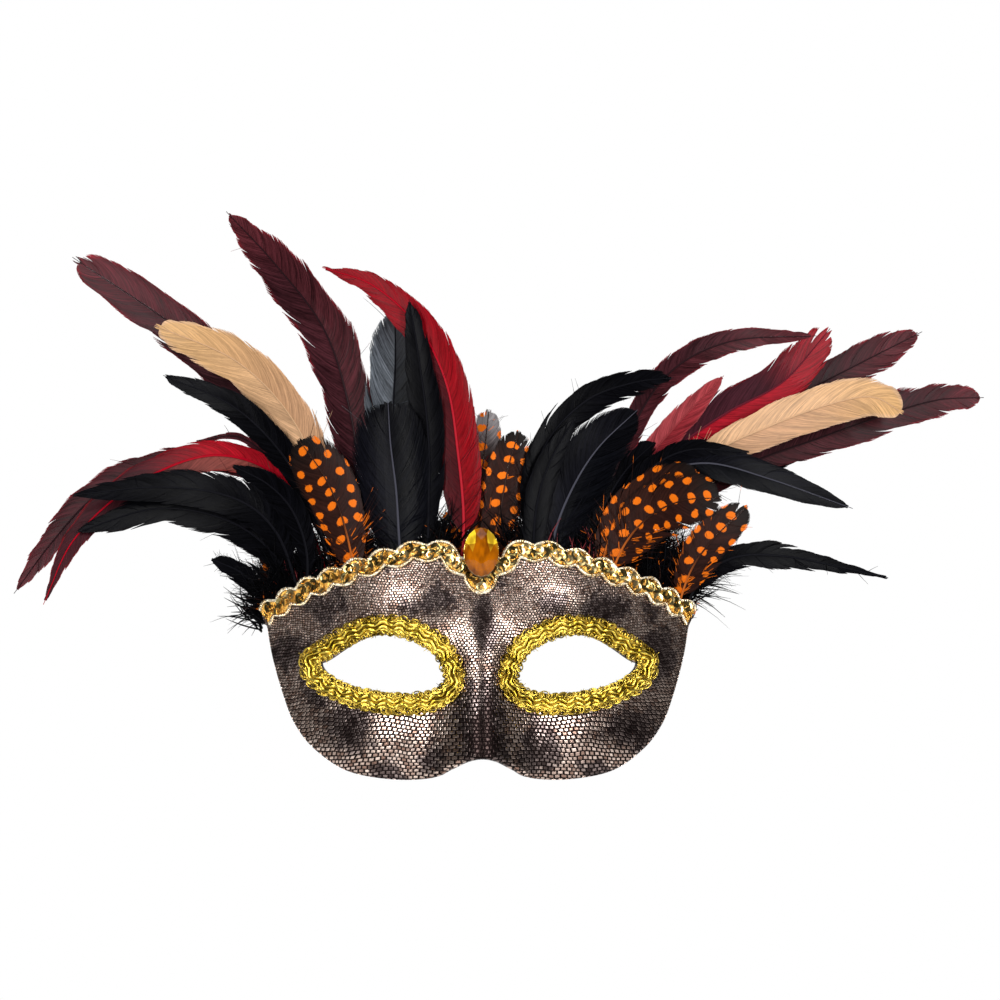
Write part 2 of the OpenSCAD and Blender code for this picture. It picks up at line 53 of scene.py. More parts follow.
camera_data = bpy.data.cameras.new("camera")
camera_data.sensor_width = SENSOR
camera_data.lens = SENSOR * VIEW_DISTANCE / VIEW_WIDTH
camera_data.clip_end = 50.0
camera = bpy.data.objects.new("camera", camera_data)
view_turn = math.radians(VIEW_TURN)
camera.location = (VIEW_CENTRE[0] * MM - VIEW_DISTANCE * MM * math.sin(view_turn),
                   -VIEW_DISTANCE * MM * math.cos(view_turn), VIEW_CENTRE[1] * MM)
camera.rotation_euler = (math.radians(90), 0, -view_turn)
bpy.context.scene.collection.objects.link(camera)
bpy.context.scene.camera = camera

# ---------------------------------------------------------------- the mask's sizes, as in the CAD model, mm

HALF_W = 79.0
MASK_DEPTH = 36.0
NOSE_H = 20.0
BROW_LEAN = 0.0025
SHELL_T = 1.2
COVER_T = 0.4
HEM_T = COVER_T
HEM_W = 6.0
LINING_T = 0.8
GAP = 0.05
BRAID_W = 7.4
RIBBON_W = 5.0
RIBBON_T = 0.6
RIBBON_IN = 2.5
BROW_OUT = 1.0
SEQUIN_D = 4.0
EDGE_CORD_R = 0.6
STONE_W = 13.0
STONE_H = 18.0
STONE_Z = 43.0
FOIL_T = 0.3
PAD_T = 1.0
BACKING_LAYER = 12.5

OUTLINE = np.array([
    [0, 34], [7, 40], [15.5, 45.5], [29, 44], [47, 38], [65, 30.5], [79, 21], [78, 14],
    [76, 3], [72, -11], [68, -21], [61, -30], [49, -38], [33, -41], [19, -40.5], [12, -37],
    [6, -34], [0, -33]], dtype=float)
BROW_SPANS = 6

EYE_IN = (13.2, -4.1)
EYE_W = 45.5
EYE_RISE = 5.7
EYE_TOP = 14.6
EYE_BOTTOM = 8.0
EYE_MID = (EYE_IN[0] + EYE_W / 2, EYE_IN[1] + EYE_RISE / 2)

# ---------------------------------------------------------------- curves and surfaces


def catmull_rom(a, b, c, d, f):
    """The point at share f of the way from b to c, on the smooth curve through a, b, c and d."""
    return 0.5 * (2 * b + (c - a) * f + (2 * a - 5 * b + 4 * c - d) * f ** 2
                  + (3 * b - a - 3 * c + d) * f ** 3)


def spline(points, t):
    """A smooth curve through points, at t from 0 to 1."""
    p = np.asarray(points, dtype=float)
    n = len(p)
    u = np.clip(np.asarray(t, dtype=float), 0, 1) * (n - 1)
    i = np.minimum(u.astype(int), n - 2)
    ends = np.vstack([2 * p[0] - p[1], p, 2 * p[-1] - p[-2]])
    return catmull_rom(*(ends[i + k] for k in range(4)), (u - i)[..., None])


def outline_points(first, last, steps):
    """Points of the outline from point first to point last, steps to a span."""
    whole = np.vstack([OUTLINE[1] * (-1, 1), OUTLINE, OUTLINE[-2] * (-1, 1)])
    f = (np.arange(steps) / steps)[:, None]
    return np.vstack([catmull_rom(*whole[i:i + 4], f) for i in range(first, last)] + [OUTLINE[last][None]])


def distances(points):
    """How far each of a line of points is along it."""
    return np.concatenate([[0], np.cumsum(np.linalg.norm(np.diff(points, axis=0), axis=1))])


def eye_point(a):
    """The eye hole's edge at angle a, in radians, as x and z."""
    r = (1 - np.cos(a)) / 2
    s = np.sin(a)
    lid = np.where(s > 0, EYE_TOP * s * (1 - r ** 3.6), EYE_BOTTOM * s)
    return np.stack([EYE_IN[0] + EYE_W * r, EYE_IN[1] + EYE_RISE * r + lid], -1)


def lid_angle(q):
    """The angle on the eye hole's edge that a point q, in x and z, looks towards."""
    return np.arctan2((q[..., 1] - EYE_MID[1]) / (EYE_W / 4), -(q[..., 0] - EYE_MID[0]) / (EYE_W / 2))


def bump(x, z, cx, cz, sx, sz):
    """A soft hill of height 1 on both halves of the face."""
    return np.exp(-((np.abs(x) - cx) / sx) ** 2 - ((z - cz) / sz) ** 2)


def face_y(x, z):
    """How far back the shell's front face is, with its nose, cheeks, brows and eye hollows."""
    u = np.clip((30 - z) / 64, 0, 1.1)
    nose = NOSE_H * u ** 1.35 * np.exp(-(x / (8 + 6 * u)) ** 2)
    return (MASK_DEPTH * (x / HALF_W) ** 2 + BROW_LEAN * z * z - nose
            - 4 * bump(x, z, 36, -27, 20, 13) - 3 * bump(x, z, 30, 27, 22, 10)
            + 2.5 * bump(x, z, EYE_MID[0], 1, 26, 12))


def skin(p, depth):
    """Points at a depth behind the shell's front face, measured square to it."""
    x, z = p[..., 0], p[..., 1]
    h = 0.5
    sx = (face_y(x + h, z) - face_y(x - h, z)) / (2 * h)
    sz = (face_y(x, z + h) - face_y(x, z - h)) / (2 * h)
    n = np.stack([-sx, np.ones_like(sx), -sz], -1)
    n /= np.linalg.norm(n, axis=-1, keepdims=True)
    return np.stack([x, face_y(x, z), z], -1) + np.asarray(depth)[..., None] * n


def unit(v):
    """v scaled to length 1."""
    return v / np.maximum(np.linalg.norm(v, axis=-1, keepdims=True), 1e-9)


def left_of(v):
    """v, in x and z, turned a quarter turn."""
    return np.stack([-v[..., 1], v[..., 0]], -1)


# ---------------------------------------------------------------- mesh building


def declare(name, mesh, nodes=()):
    """Puts a mesh in the scene under the root body, and hides the CAD nodes that it replaces."""
    piece = bpy.data.objects.new(name, mesh)
    bpy.context.scene.collection.objects.link(piece)
    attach(piece, "root")
    if nodes:
        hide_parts(*nodes)
    return piece


def make_piece(name, verts, faces, material, slot, nodes=(), smooth=True, values=None, merge=False):
    """A piece from points in mm and arrays of faces; values are its attributes, one entry to a point."""
    mesh = bpy.data.meshes.new(name)
    verts = np.asarray(verts, dtype=np.float32).reshape(-1, 3) * MM
    mesh.vertices.add(len(verts))
    mesh.vertices.foreach_set("co", verts.ravel())
    faces = [np.asarray(f, dtype=np.int32) for f in faces if len(f)]
    corners = np.concatenate([f.ravel() for f in faces])
    sizes = np.concatenate([np.full(len(f), f.shape[1]) for f in faces])
    starts = np.concatenate([[0], np.cumsum(sizes)[:-1]]).astype(np.int32)
    mesh.loops.add(len(corners))
    mesh.loops.foreach_set("vertex_index", corners)
    mesh.polygons.add(len(starts))
    mesh.polygons.foreach_set("loop_start", starts)
    for key, data in (values or {}).items():
        data = np.asarray(data, dtype=np.float32)
        kind, field = ("FLOAT", "value") if data.ndim == 1 else ("FLOAT_VECTOR", "vector")
        mesh.attributes.new(key, kind, "POINT").data.foreach_set(field, data.ravel())
    mesh.update(calc_edges=True)
    mesh.validate()
    if merge:
        bm = bmesh.new()
        bm.from_mesh(mesh)
        bmesh.ops.remove_doubles(bm, verts=bm.verts, dist=1e-6)
        bmesh.ops.recalc_face_normals(bm, faces=bm.faces)
        bm.to_mesh(mesh)
        bm.free()
    mesh.polygons.foreach_set("use_smooth", np.full(len(mesh.polygons), smooth))
    mesh.materials.append(material)
    return declare(name, mesh, nodes)


def sweep_faces(n, m, closed=False, first=0):
    """Faces of n rings of m points each, with end caps unless the sweep closes on itself."""
    i = np.arange(n if closed else n - 1)[:, None]
    j = np.arange(m)[None, :]
    a = i * m + j
    b = i * m + (j + 1) % m
    c = ((i + 1) % n) * m + (j + 1) % m
    d = ((i + 1) % n) * m + j
    sides = np.stack([a, b, c, d], -1).reshape(-1, 4) + first
    if closed:
        return [sides]
    caps = np.stack([np.arange(m)[::-1], (n - 1) * m + np.arange(m)]) + first
    return [sides, caps]


class Batch:
    """Collects many sweeps into one mesh."""

    def __init__(self):
        self.verts = []
        self.faces = []
        self.values = {}
        self.count = 0

    def add(self, rings, closed=False, **values):
        """Rings shaped (ring, point, xyz) and what each of their points holds for the material."""
        rings = np.asarray(rings, dtype=float)
        n, m = rings.shape[:2]
        self.verts.append(rings.reshape(-1, 3))
        self.faces += sweep_faces(n, m, closed, self.count)
        for key, data in values.items():
            self.values.setdefault(key, []).append(np.asarray(data, dtype=float))
        self.count += n * m

    def piece(self, name, material, slot, nodes=(), **options):
        values = {key: np.concatenate(data) for key, data in self.values.items()}
        return make_piece(name, np.vstack(self.verts), self.faces, material, slot, nodes,
                          values=values, **options)


# ---------------------------------------------------------------- material graphs


class Graph:
    """A procedural material: its nodes are added with short calls."""

    def __init__(self, name, **sockets):
        self.material = bpy.data.materials.new(name)
        self.material.use_nodes = True
        self.tree = self.material.node_tree
        self.shader = self.tree.nodes["Principled BSDF"]
        for key, value in sockets.items():
            self.set(key.replace("_", " "), value)

    def feed(self, socket, value):
        """Links a socket or gives it a constant; a colour of three numbers is made opaque."""
        if isinstance(value, bpy.types.NodeSocket):
            self.tree.links.new(value, socket)
        elif socket.type == "RGBA" and len(value) == 3:
            socket.default_value = (*value, 1.0)
        else:
            socket.default_value = value

    def set(self, name, value):
        self.feed(next(s for s in self.shader.inputs if s.name.lower() == name.lower()), value)

    def add(self, kind, inputs=None, **options):
        node = self.tree.nodes.new(kind)
        for key, value in options.items():
            setattr(node, key, value)
        for key, value in (inputs or {}).items():
            self.feed(node.inputs[key], value)
        return node

    def value(self, name):
        return self.add("ShaderNodeAttribute", attribute_name=name)

    def math(self, operation, a, b=0.0):
        return self.add("ShaderNodeMath", {0: a, 1: b}, operation=operation).outputs[0]

    def scaled(self, vector, scale):
        return self.add("ShaderNodeVectorMath", {0: vector, 1: scale}, operation="MULTIPLY").outputs[0]

    def parts(self, vector):
        node = self.add("ShaderNodeSeparateXYZ", {0: vector})
        return node.outputs[0], node.outputs[1], node.outputs[2]

    def join(self, x, y, z=0.0):
        return self.add("ShaderNodeCombineXYZ", {0: x, 1: y, 2: z}).outputs[0]

    def mix(self, factor, a, b, blend="MIX"):
        # a colour mix reads inputs 0, 6 and 7 and writes output 2
        inputs = {0: factor, 6: a, 7: b}
        return self.add("ShaderNodeMix", inputs, data_type="RGBA", blend_type=blend).outputs[2]

    def band(self, value, low, high, to_low=0.0, to_high=1.0, smooth=True):
        """Maps value's range low to high onto to_low to to_high, and holds the ends."""
        node = self.add("ShaderNodeMapRange", {"Value": value, "From Min": low, "From Max": high,
                                               "To Min": to_low, "To Max": to_high})
        if smooth:
            node.interpolation_type = "SMOOTHSTEP"
        return node.outputs[0]

    def noise(self, vector, scale, detail=2.0, roughness=0.5):
        node = self.add("ShaderNodeTexNoise", {"Vector": vector, "Scale": scale, "Detail": detail,
                                               "Roughness": roughness})
        return node.outputs["Fac"]

    def position(self):
        return self.add("ShaderNodeTexCoord").outputs["Object"]

    def bump(self, height, distance, strength):
        inputs = {"Height": height, "Distance": distance, "Strength": strength}
        self.set("Normal", self.add("ShaderNodeBump", inputs).outputs[0])


# ---------------------------------------------------------------- cloth and hard materials


def snakeskin():
    """Bronze foil printed in small scales, larger towards the cheeks, over dark python blotches and painted
    shade down the nose ridge.
    """
    g = Graph("snakeskin_foil", metallic=1.0, specular_ior_level=0.5)
    cloth = g.value("cloth").outputs["Vector"]
    # the rows of scales drift a few mm from straight
    warp = g.add("ShaderNodeTexNoise", {"Vector": cloth, "Scale": 0.05, "Detail": 2.0})
    shift = g.add("ShaderNodeVectorMath", {0: warp.outputs["Color"], 1: (0.5, 0.5, 0.5)},
                  operation="SUBTRACT")
    drift = g.scaled(shift.outputs[0], (8.0, 6.0, 0.0))
    bent = g.add("ShaderNodeVectorMath", {0: cloth, 1: drift}, operation="ADD")
    across, up, _ = g.parts(bent.outputs[0])
    scale_w = g.band(up, -40, 26, 2.15, 1.12)
    scale_h = g.band(up, -40, 26, 1.3, 0.95)
    cell = g.join(g.math("DIVIDE", across, scale_w), g.math("DIVIDE", up, scale_h))
    brick = g.add("ShaderNodeTexBrick", {
        "Vector": cell, "Scale": 1.0, "Mortar Size": 0.24, "Mortar Smooth": 0.9, "Bias": 0.0,
        "Brick Width": 1.0, "Row Height": 1.0, "Color1": (0.0, 0.0, 0.0, 1.0), "Color2": (1.0, 1.0, 1.0, 1.0),
        "Mortar": (0.5, 0.5, 0.5, 1.0)}, offset=0.5)
    tint = g.add("ShaderNodeSeparateColor", {0: brick.outputs["Color"]}).outputs[0]
    gap = g.band(brick.outputs["Fac"], 0.0, 0.62, smooth=False)
    # noise frays the blotches' edges
    large = g.math("MULTIPLY", g.math("SUBTRACT", g.noise(cloth, 0.075, 2.0), 0.5), 1.5)
    small = g.math("MULTIPLY", g.math("SUBTRACT", g.noise(cloth, 0.33, 3.0, 0.65), 0.5), 1.3)
    # the darkness read here holds the print's blotches and the painted shade down the nose ridge
    darkness = g.math("ADD", g.value("blotch").outputs["Fac"], g.math("ADD", large, small))
    blotch = g.band(darkness, 0.30, 0.62)
    light_cell = g.mix(tint, (0.30, 0.175, 0.13), (1.0, 0.80, 0.69))
    dark_cell = g.mix(tint, (0.045, 0.030, 0.028), (0.36, 0.28, 0.26))
    # the darkest parts, the painted shade down the nose ridge among them, go nearly black
    dark_cell = g.mix(g.band(darkness, 0.75, 1.25), dark_cell, (0.035, 0.024, 0.022))
    g.set("Base Color", g.mix(gap, g.mix(blotch, light_cell, dark_cell), (0.010, 0.006, 0.006)))
    g.set("Roughness", g.math("ADD", g.band(g.noise(cloth, 0.9, 2.0), 0.3, 0.7, 0.19, 0.30),
                              g.math("MULTIPLY", gap, 0.25)))
    crumple = g.noise(cloth, 2.2, 2.0)
    g.bump(g.math("SUBTRACT", g.math("MULTIPLY", crumple, 0.7), gap), 0.12 * MM, 0.75)
    return g.material


def felt(name, colour, light):
    """Matted wool fibres."""
    g = Graph(name, roughness=0.95, sheen_weight=0.35, sheen_roughness=0.5, sheen_tint=(0.5, 0.5, 0.55))
    place = g.position()
    fibres = g.noise(g.scaled(place, (1.0, 2.4, 1.0)), 1400.0, 4.0, 0.7)
    clumps = g.noise(place, 260.0, 3.0)
    tone = g.math("ADD", fibres, g.math("MULTIPLY", clumps, 0.6))
    g.set("Base Color", g.mix(g.band(tone, 0.6, 1.0), colour, light))
    g.bump(g.math("ADD", fibres, clumps), 0.35 * MM, 0.8)
    return g.material


def metal_thread(name, dark, light, roughness=0.26, grain=1500.0):
    """Metallic thread with painted shade and painted highlights: its colour runs from dark to light where
    noise in its strands and patches is high.
    """
    g = Graph(name, metallic=1.0, specular_ior_level=0.5)
    place = g.position()
    strands = g.noise(place, grain, 2.0, 0.6)
    patches = g.noise(place, 300.0, 2.0)
    # painted light: noise, not the lamps, sets which strands are shaded dark and which are highlighted
    g.set("Base Color", g.mix(g.band(g.math("ADD", strands, patches), 0.7, 1.25), dark, light))
    g.set("Roughness", g.band(patches, 0.3, 0.7, roughness - 0.06, roughness + 0.14))
    g.bump(strands, 0.10 * MM, 0.7)
    return g.material


def moulded_plastic(name, colour):
    """Vacuum-formed or moulded plastic with a faint grain."""
    g = Graph(name, base_color=colour, specular_ior_level=0.5)
    place = g.position()
    g.set("Roughness", g.band(g.noise(place, 90.0, 3.0), 0.3, 0.7, 0.42, 0.6))
    g.bump(g.noise(place, 900.0, 3.0, 0.6), 0.05 * MM, 0.6)
    return g.material


def stone_material():
    """Clear amber with painted light: the facets at its upper corners are painted bright and glow faintly,
    the others look deep.
    """
    g = Graph("amber_stone", roughness=0.04, ior=1.5, transmission_weight=0.2, specular_ior_level=0.2)
    lean = g.add("ShaderNodeNewGeometry").outputs["True Normal"]
    x, _, z = g.parts(lean)
    # painted highlight: facets that face up and out to the sides get a bright colour
    painted_glint = g.math("MULTIPLY", g.band(g.math("ABSOLUTE", x), 0.16, 0.34), g.band(z, 0.06, 0.26))
    place = g.position()
    glow = g.noise(g.scaled(place, (1.0, 0.4, 0.45)), 330.0, 2.0)
    deep = g.mix(g.band(glow, 0.30, 0.72), (0.12, 0.026, 0.0), (0.46, 0.125, 0.0))
    painted_glint = g.math("MULTIPLY", painted_glint, g.band(glow, 0.36, 0.60, 0.35, 1.0))
    g.set("Base Color", g.mix(painted_glint, deep, (1.0, 0.70, 0.03)))
    # the painted highlight also glows a little, though the stone is no lamp
    g.set("Emission Color", g.mix(painted_glint, (0.0, 0.0, 0.0), (0.9, 0.62, 0.03)))
    g.set("Emission Strength", 0.10)
    return g.material


def foil_material():
    """Crinkled gold foil."""
    g = Graph("stone_foil", metallic=1.0, specular_ior_level=0.5)
    place = g.position()
    g.set("Base Color", g.mix(g.noise(place, 500.0), (0.95, 0.62, 0.12), (1.0, 0.80, 0.35)))
    g.set("Roughness", g.band(g.noise(place, 700.0), 0.3, 0.7, 0.12, 0.28))
    return g.material


def glue_material():
    """Cloudy hot glue."""
    g = Graph("hot_glue", roughness=0.3, transmission_weight=0.15, ior=1.45, subsurface_weight=0.2)
    place = g.position()
    g.set("Base Color", g.mix(g.noise(place, 200.0, 3.0), (0.62, 0.56, 0.42), (0.82, 0.78, 0.66)))
    g.bump(g.noise(place, 350.0, 2.0), 0.4 * MM, 0.7)
    return g.material


def sequin_material():
    """Metallised film, a little different on each sequin, with a painted sheen in patches."""
    g = Graph("sequin_film", metallic=1.0, specular_ior_level=0.5)
    chance = g.value("chance").outputs["Fac"]
    place = g.position()
    film = g.mix(g.band(chance, 0.25, 0.95), (0.20, 0.165, 0.06), (0.80, 0.62, 0.30))
    # painted sheen: patches of noise pushed towards a bright gold
    painted_sheen = g.band(g.noise(place, 900.0, 1.0), 0.45, 0.65, 0.0, 0.3)
    g.set("Base Color", g.mix(painted_sheen, film, (1.0, 0.70, 0.28)))
    g.set("Roughness", g.band(chance, 0.0, 1.0, 0.10, 0.26, smooth=False))
    g.bump(g.noise(place, 700.0), 0.03 * MM, 0.5)
    return g.material


COVER_MATERIAL = snakeskin()
LINING_MATERIAL = felt("lining_felt", (0.006, 0.006, 0.008), (0.035, 0.035, 0.042))
STRIP_MATERIAL = felt("strip_felt", (0.008, 0.007, 0.008), (0.045, 0.040, 0.042))
PAD_MATERIAL = felt("pad_felt", (0.10, 0.05, 0.015), (0.24, 0.13, 0.05))
SHELL_MATERIAL = moulded_plastic("shell_plastic", (0.012, 0.011, 0.014))
LUG_MATERIAL = moulded_plastic("lug_plastic", (0.015, 0.015, 0.017))
# each thread's first colour is painted shade and its second a painted highlight; the tape's dark tone is
# painted shade between the cords
BRAID_MATERIAL = metal_thread("gold_tape", (0.07, 0.038, 0.003), (0.34, 0.21, 0.02), 0.36)
GOLD_MATERIAL = metal_thread("gold_thread", (0.085, 0.05, 0.002), (0.88, 0.64, 0.11), 0.16, 900.0)
SATIN_MATERIAL = metal_thread("gold_satin", (0.42, 0.29, 0.02), (0.90, 0.68, 0.12), 0.17, 2400.0)
CHAMPAGNE_MATERIAL = metal_thread("champagne_thread", (0.55, 0.36, 0.13), (1.0, 0.93, 0.76), 0.20, 1100.0)
STITCH_MATERIAL = metal_thread("orange_gold_thread", (0.45, 0.20, 0.015), (1.0, 0.62, 0.16), 0.24, 1100.0)
RIBBON_MATERIAL = metal_thread("champagne_ribbon", (0.16, 0.09, 0.015), (0.62, 0.38, 0.10), 0.34, 2600.0)
SEQUIN_MATERIAL = sequin_material()
STONE_MATERIAL = stone_material()
FOIL_MATERIAL = foil_material()
GLUE_MATERIAL = glue_material()

# ---------------------------------------------------------------- the mask's layers

SPAN_STEPS = 10     # a face sheet's points on each span of the outline
BRIDGE_STEPS = 44   # its points down the middle line
RINGS = 26          # its rings between the eye hole and the outline


def cloth_coordinates(p):
    """Distances in mm over the cloth: along the face's curve from the nose, and up."""
    k = 2 * MASK_DEPTH / HALF_W ** 2
    x = p[..., 0]
    root = np.sqrt(1 + (k * x) ** 2)
    run = 0.5 * (x * root + np.arcsinh(k * x) / k)
    return np.stack([run, p[..., 1], np.zeros_like(run)], -1)


# The print's dark blotches on the cloth, and in the first two painted shade down the nose ridge: centre and
# radii across and up, in mm, and strength.
PRINT_AND_SHADE_BLOTCHES = [
    (1, 16, 5, 13, 1.1), (0, -25, 9, 17, 1.6), (17, -4, 5, 9, 0.7), (-16, 24, 13, 7, 0.8),
    (26, 25, 9, 5, 0.7), (48, 21, 14, 7, 1.0), (-58, 22, 13, 8, 0.8), (-77, 5, 10, 9, 0.9),
    (-68, -8, 9, 8, 0.8), (-50, -22, 11, 9, 1.0), (-20, -33, 9, 7, 0.7), (22, -28, 8, 11, 1.0),
    (62, -24, 13, 9, 1.0), (74, 5, 10, 11, 0.9), (-36, 38, 9, 4, 0.6), (46, -38, 11, 5, 0.8),
    (-38, -39, 13, 4, 0.7), (7, 32, 5, 6, 0.7), (68, 20, 6, 8, 0.6), (-9, -12, 4, 7, 0.5)]


def blotch_value(p):
    """How dark the print and the painted shade down the nose ridge are at points of the cloth."""
    value = np.zeros(len(p))
    for cx, cz, rx, rz, strength in PRINT_AND_SHADE_BLOTCHES:
        spot = np.exp(-((p[:, 0] - cx) / rx) ** 2 - ((p[:, 1] - cz) / rz) ** 2)
        value = np.maximum(value, strength * spot)
    return value


def face_sheet(name, front, back, hole_in, rim_in, material, slot, nodes):
    """A sheet that follows the face, from depth front to depth back, with both eye holes.

    hole_in and rim_in are how far it stays inside the eye holes' edges and the outline.
    """
    rim = outline_points(0, len(OUTLINE) - 1, SPAN_STEPS)
    f = np.arange(1, BRIDGE_STEPS)[:, None] / BRIDGE_STEPS
    loop = np.vstack([rim, OUTLINE[-1] + (OUTLINE[0] - OUTLINE[-1]) * f])
    n_rim, n = len(rim), len(loop)
    p = eye_point(lid_angle(loop))
    d = unit(loop - p)
    inner = p + d * hole_in
    outer = loop - d * np.where(loop[:, :1] > 0.001, rim_in, 0)
    f = (np.arange(RINGS + 1) / RINGS)[None, :, None]
    grid = (inner[:, None] + (outer - inner)[:, None] * f).reshape(-1, 2)
    m = RINGS + 1
    count = n * m
    i = np.arange(n)[:, None]
    j = np.arange(RINGS)[None, :]
    k = (i + 1) % n
    skin_faces = np.stack([i * m + j, i * m + j + 1, k * m + j + 1, k * m + j], -1).reshape(-1, 4)
    a, b = np.arange(n), (np.arange(n) + 1) % n
    eye_edge = np.stack([a * m, b * m, count + b * m, count + a * m], -1)
    r = np.arange(n_rim - 1)
    rim_edge = np.stack([r * m + RINGS, count + r * m + RINGS, count + (r + 1) * m + RINGS,
                         (r + 1) * m + RINGS], -1)
    half = np.vstack([skin_faces, skin_faces[:, ::-1] + count, eye_edge, rim_edge])
    verts, cloth = [], []
    for side in (1, -1):
        for depth in (front, back):
            verts.append(skin(grid, np.full(count, depth)) * (side, 1, 1))
            cloth.append(cloth_coordinates(grid) * (side, 1, 1))
    cloth = np.vstack(cloth)
    return make_piece(name, np.vstack(verts), [half, half[:, ::-1] + 2 * count], material, slot, nodes,
                      values={"cloth": cloth, "blotch": blotch_value(cloth)}, merge=True)


face_sheet("shell_moulding", 0, SHELL_T, 0, 0, SHELL_MATERIAL, "shell_plastic", ["mask_shell"])
cover = face_sheet("snakeskin_cover", -COVER_T, -GAP, 0, 0, COVER_MATERIAL, "snakeskin_fabric",
                   ["printed_cover"])
LINING_DEPTH = SHELL_T + HEM_T + 2 * GAP
lining = face_sheet("felt_lining", LINING_DEPTH, LINING_DEPTH + LINING_T, 1.2, 1.5,
                    LINING_MATERIAL, "lining_felt", ["face_lining"])


def cover_hem():
    """The cover's edge, turned round the rim with small gathers on its inner side."""
    rim = outline_points(0, len(OUTLINE) - 1, 14)
    whole = np.vstack([rim, (rim * (-1, 1))[-2:0:-1]])
    right = np.abs(whole[:, 0])
    m = np.stack([right, whole[:, 1]], -1)
    p = eye_point(lid_angle(m))
    upright = np.stack([right * 0, np.where(m[:, 1] > 0, -1, 1)], -1)
    d = np.where(right[:, None] < 0.001, upright, unit(p - m))
    run = np.arange(len(whole))
    edge_w = HEM_W - 0.25 + 0.25 * np.sin(run * 0.9) * np.sin(run * 0.23)
    pleat = 0.06 + 0.06 * np.sin(run * 1.7)
    # corners of the hem's section: how far in from the rim, and how deep
    b = SHELL_T + GAP
    out = GAP + HEM_T
    corners = [(-GAP, -COVER_T), (-GAP, b), (HEM_W / 2, b), (edge_w, b), (edge_w, b + HEM_T - pleat),
               (HEM_W / 2, b + HEM_T - pleat / 2), (0.4, b + HEM_T), (-out * 0.7, b + HEM_T * 0.7),
               (-out, b), (-out, 0.2), (-out * 0.7, -COVER_T * 0.8)]
    n = len(m)
    rings = np.stack([skin(m + d * np.broadcast_to(w, n)[:, None], np.broadcast_to(h, n))
                      for w, h in corners], 1)
    rings[whole[:, 0] < 0, :, 0] *= -1
    batch = Batch()
    flat = cloth_coordinates(rings[..., [0, 2]]).reshape(-1, 3)
    batch.add(rings, closed=True, cloth=flat, blotch=blotch_value(flat))
    return batch.piece("snakeskin_hem", COVER_MATERIAL, "snakeskin_fabric", ["cover_hem"], merge=True)


hem = cover_hem()

# ---------------------------------------------------------------- eye braids

EYE_SAMPLES = 1440
BRAID_MIDDLE = BRAID_W / 2
LOOP_STEPS = 14                    # points on each loop of gold thread
AWAY = np.array([0.0, -1.0, 0.0])  # straight out of the mask's front


def eye_track():
    """The eye hole's edge: its points, their outward directions, and the distance along the braid."""
    a = -np.arange(EYE_SAMPLES) * 2 * np.pi / EYE_SAMPLES
    p = eye_point(a)
    step = np.radians(1.5)
    out = left_of(unit(eye_point(a + step) - eye_point(a - step)))
    middle = p + out * BRAID_W / 2
    return p, out, distances(np.vstack([middle, middle[:1]]))


EYE_P, EYE_OUT, EYE_RUN = eye_track()
EYE_LENGTH = EYE_RUN[-1]


def by_eye(s, w, h):
    """A point on the cover beside the eye hole: s along the braid, w outside the hole, h above."""
    s = np.mod(s, EYE_LENGTH)
    track = (EYE_P[:, 0], EYE_P[:, 1], EYE_OUT[:, 0], EYE_OUT[:, 1])
    cols = [np.interp(s, EYE_RUN, np.append(v, v[0])) for v in track]
    out = unit(np.stack(cols[2:], -1))
    return skin(np.stack(cols[:2], -1) + out * np.asarray(w)[..., None], -COVER_T - GAP - np.asarray(h))


def section_frame(path, closed):
    """Directions across a path: one away from the mask, one along the mask's surface."""
    ahead = unit(np.roll(path, -1, 0) - np.roll(path, 1, 0) if closed else np.gradient(path, axis=0))
    lift = unit(AWAY - ahead * (ahead @ AWAY)[:, None])
    return lift, np.cross(ahead, lift)


def thread(path, radius, sides=6, closed=False):
    """Rings of a thread along a path; radius is one number, or one to a point or to a point and side."""
    path = np.asarray(path)
    lift, across = section_frame(path, closed)
    radius = np.asarray(radius, dtype=float)
    if radius.ndim < 2:
        radius = np.broadcast_to(radius, len(path))[:, None] * np.ones((1, sides))
    angle = np.arange(sides) * 2 * np.pi / sides
    return (path[:, None] + radius[..., None] * (np.cos(angle)[None, :, None] * across[:, None]
                                                 + np.sin(angle)[None, :, None] * lift[:, None]))


def eye_tape():
    """The flat tape that the loops and cords are sewn to, with lightly waved borders."""
    n = 420
    s = np.arange(n) * EYE_LENGTH / n
    wave = 0.25 * np.sin(2 * np.pi * 34 * s / EYE_LENGTH)
    profile = [(0.9, 0), (0.75, 0.3), (1.1, 0.5), (2.2, 0.7), (BRAID_MIDDLE, 0.5), (5.2, 0.7), (6.3, 0.5),
               (6.7, 0.3), (6.55, 0)]
    tape = Batch()
    tape.add(np.stack([by_eye(s, w + (wave if 0 < h else 0), np.full(n, h)) for w, h in profile], 1),
             closed=True)
    return tape.piece("eye_tape_right", BRAID_MATERIAL, "gold_braid", ["eye_braid_right"])


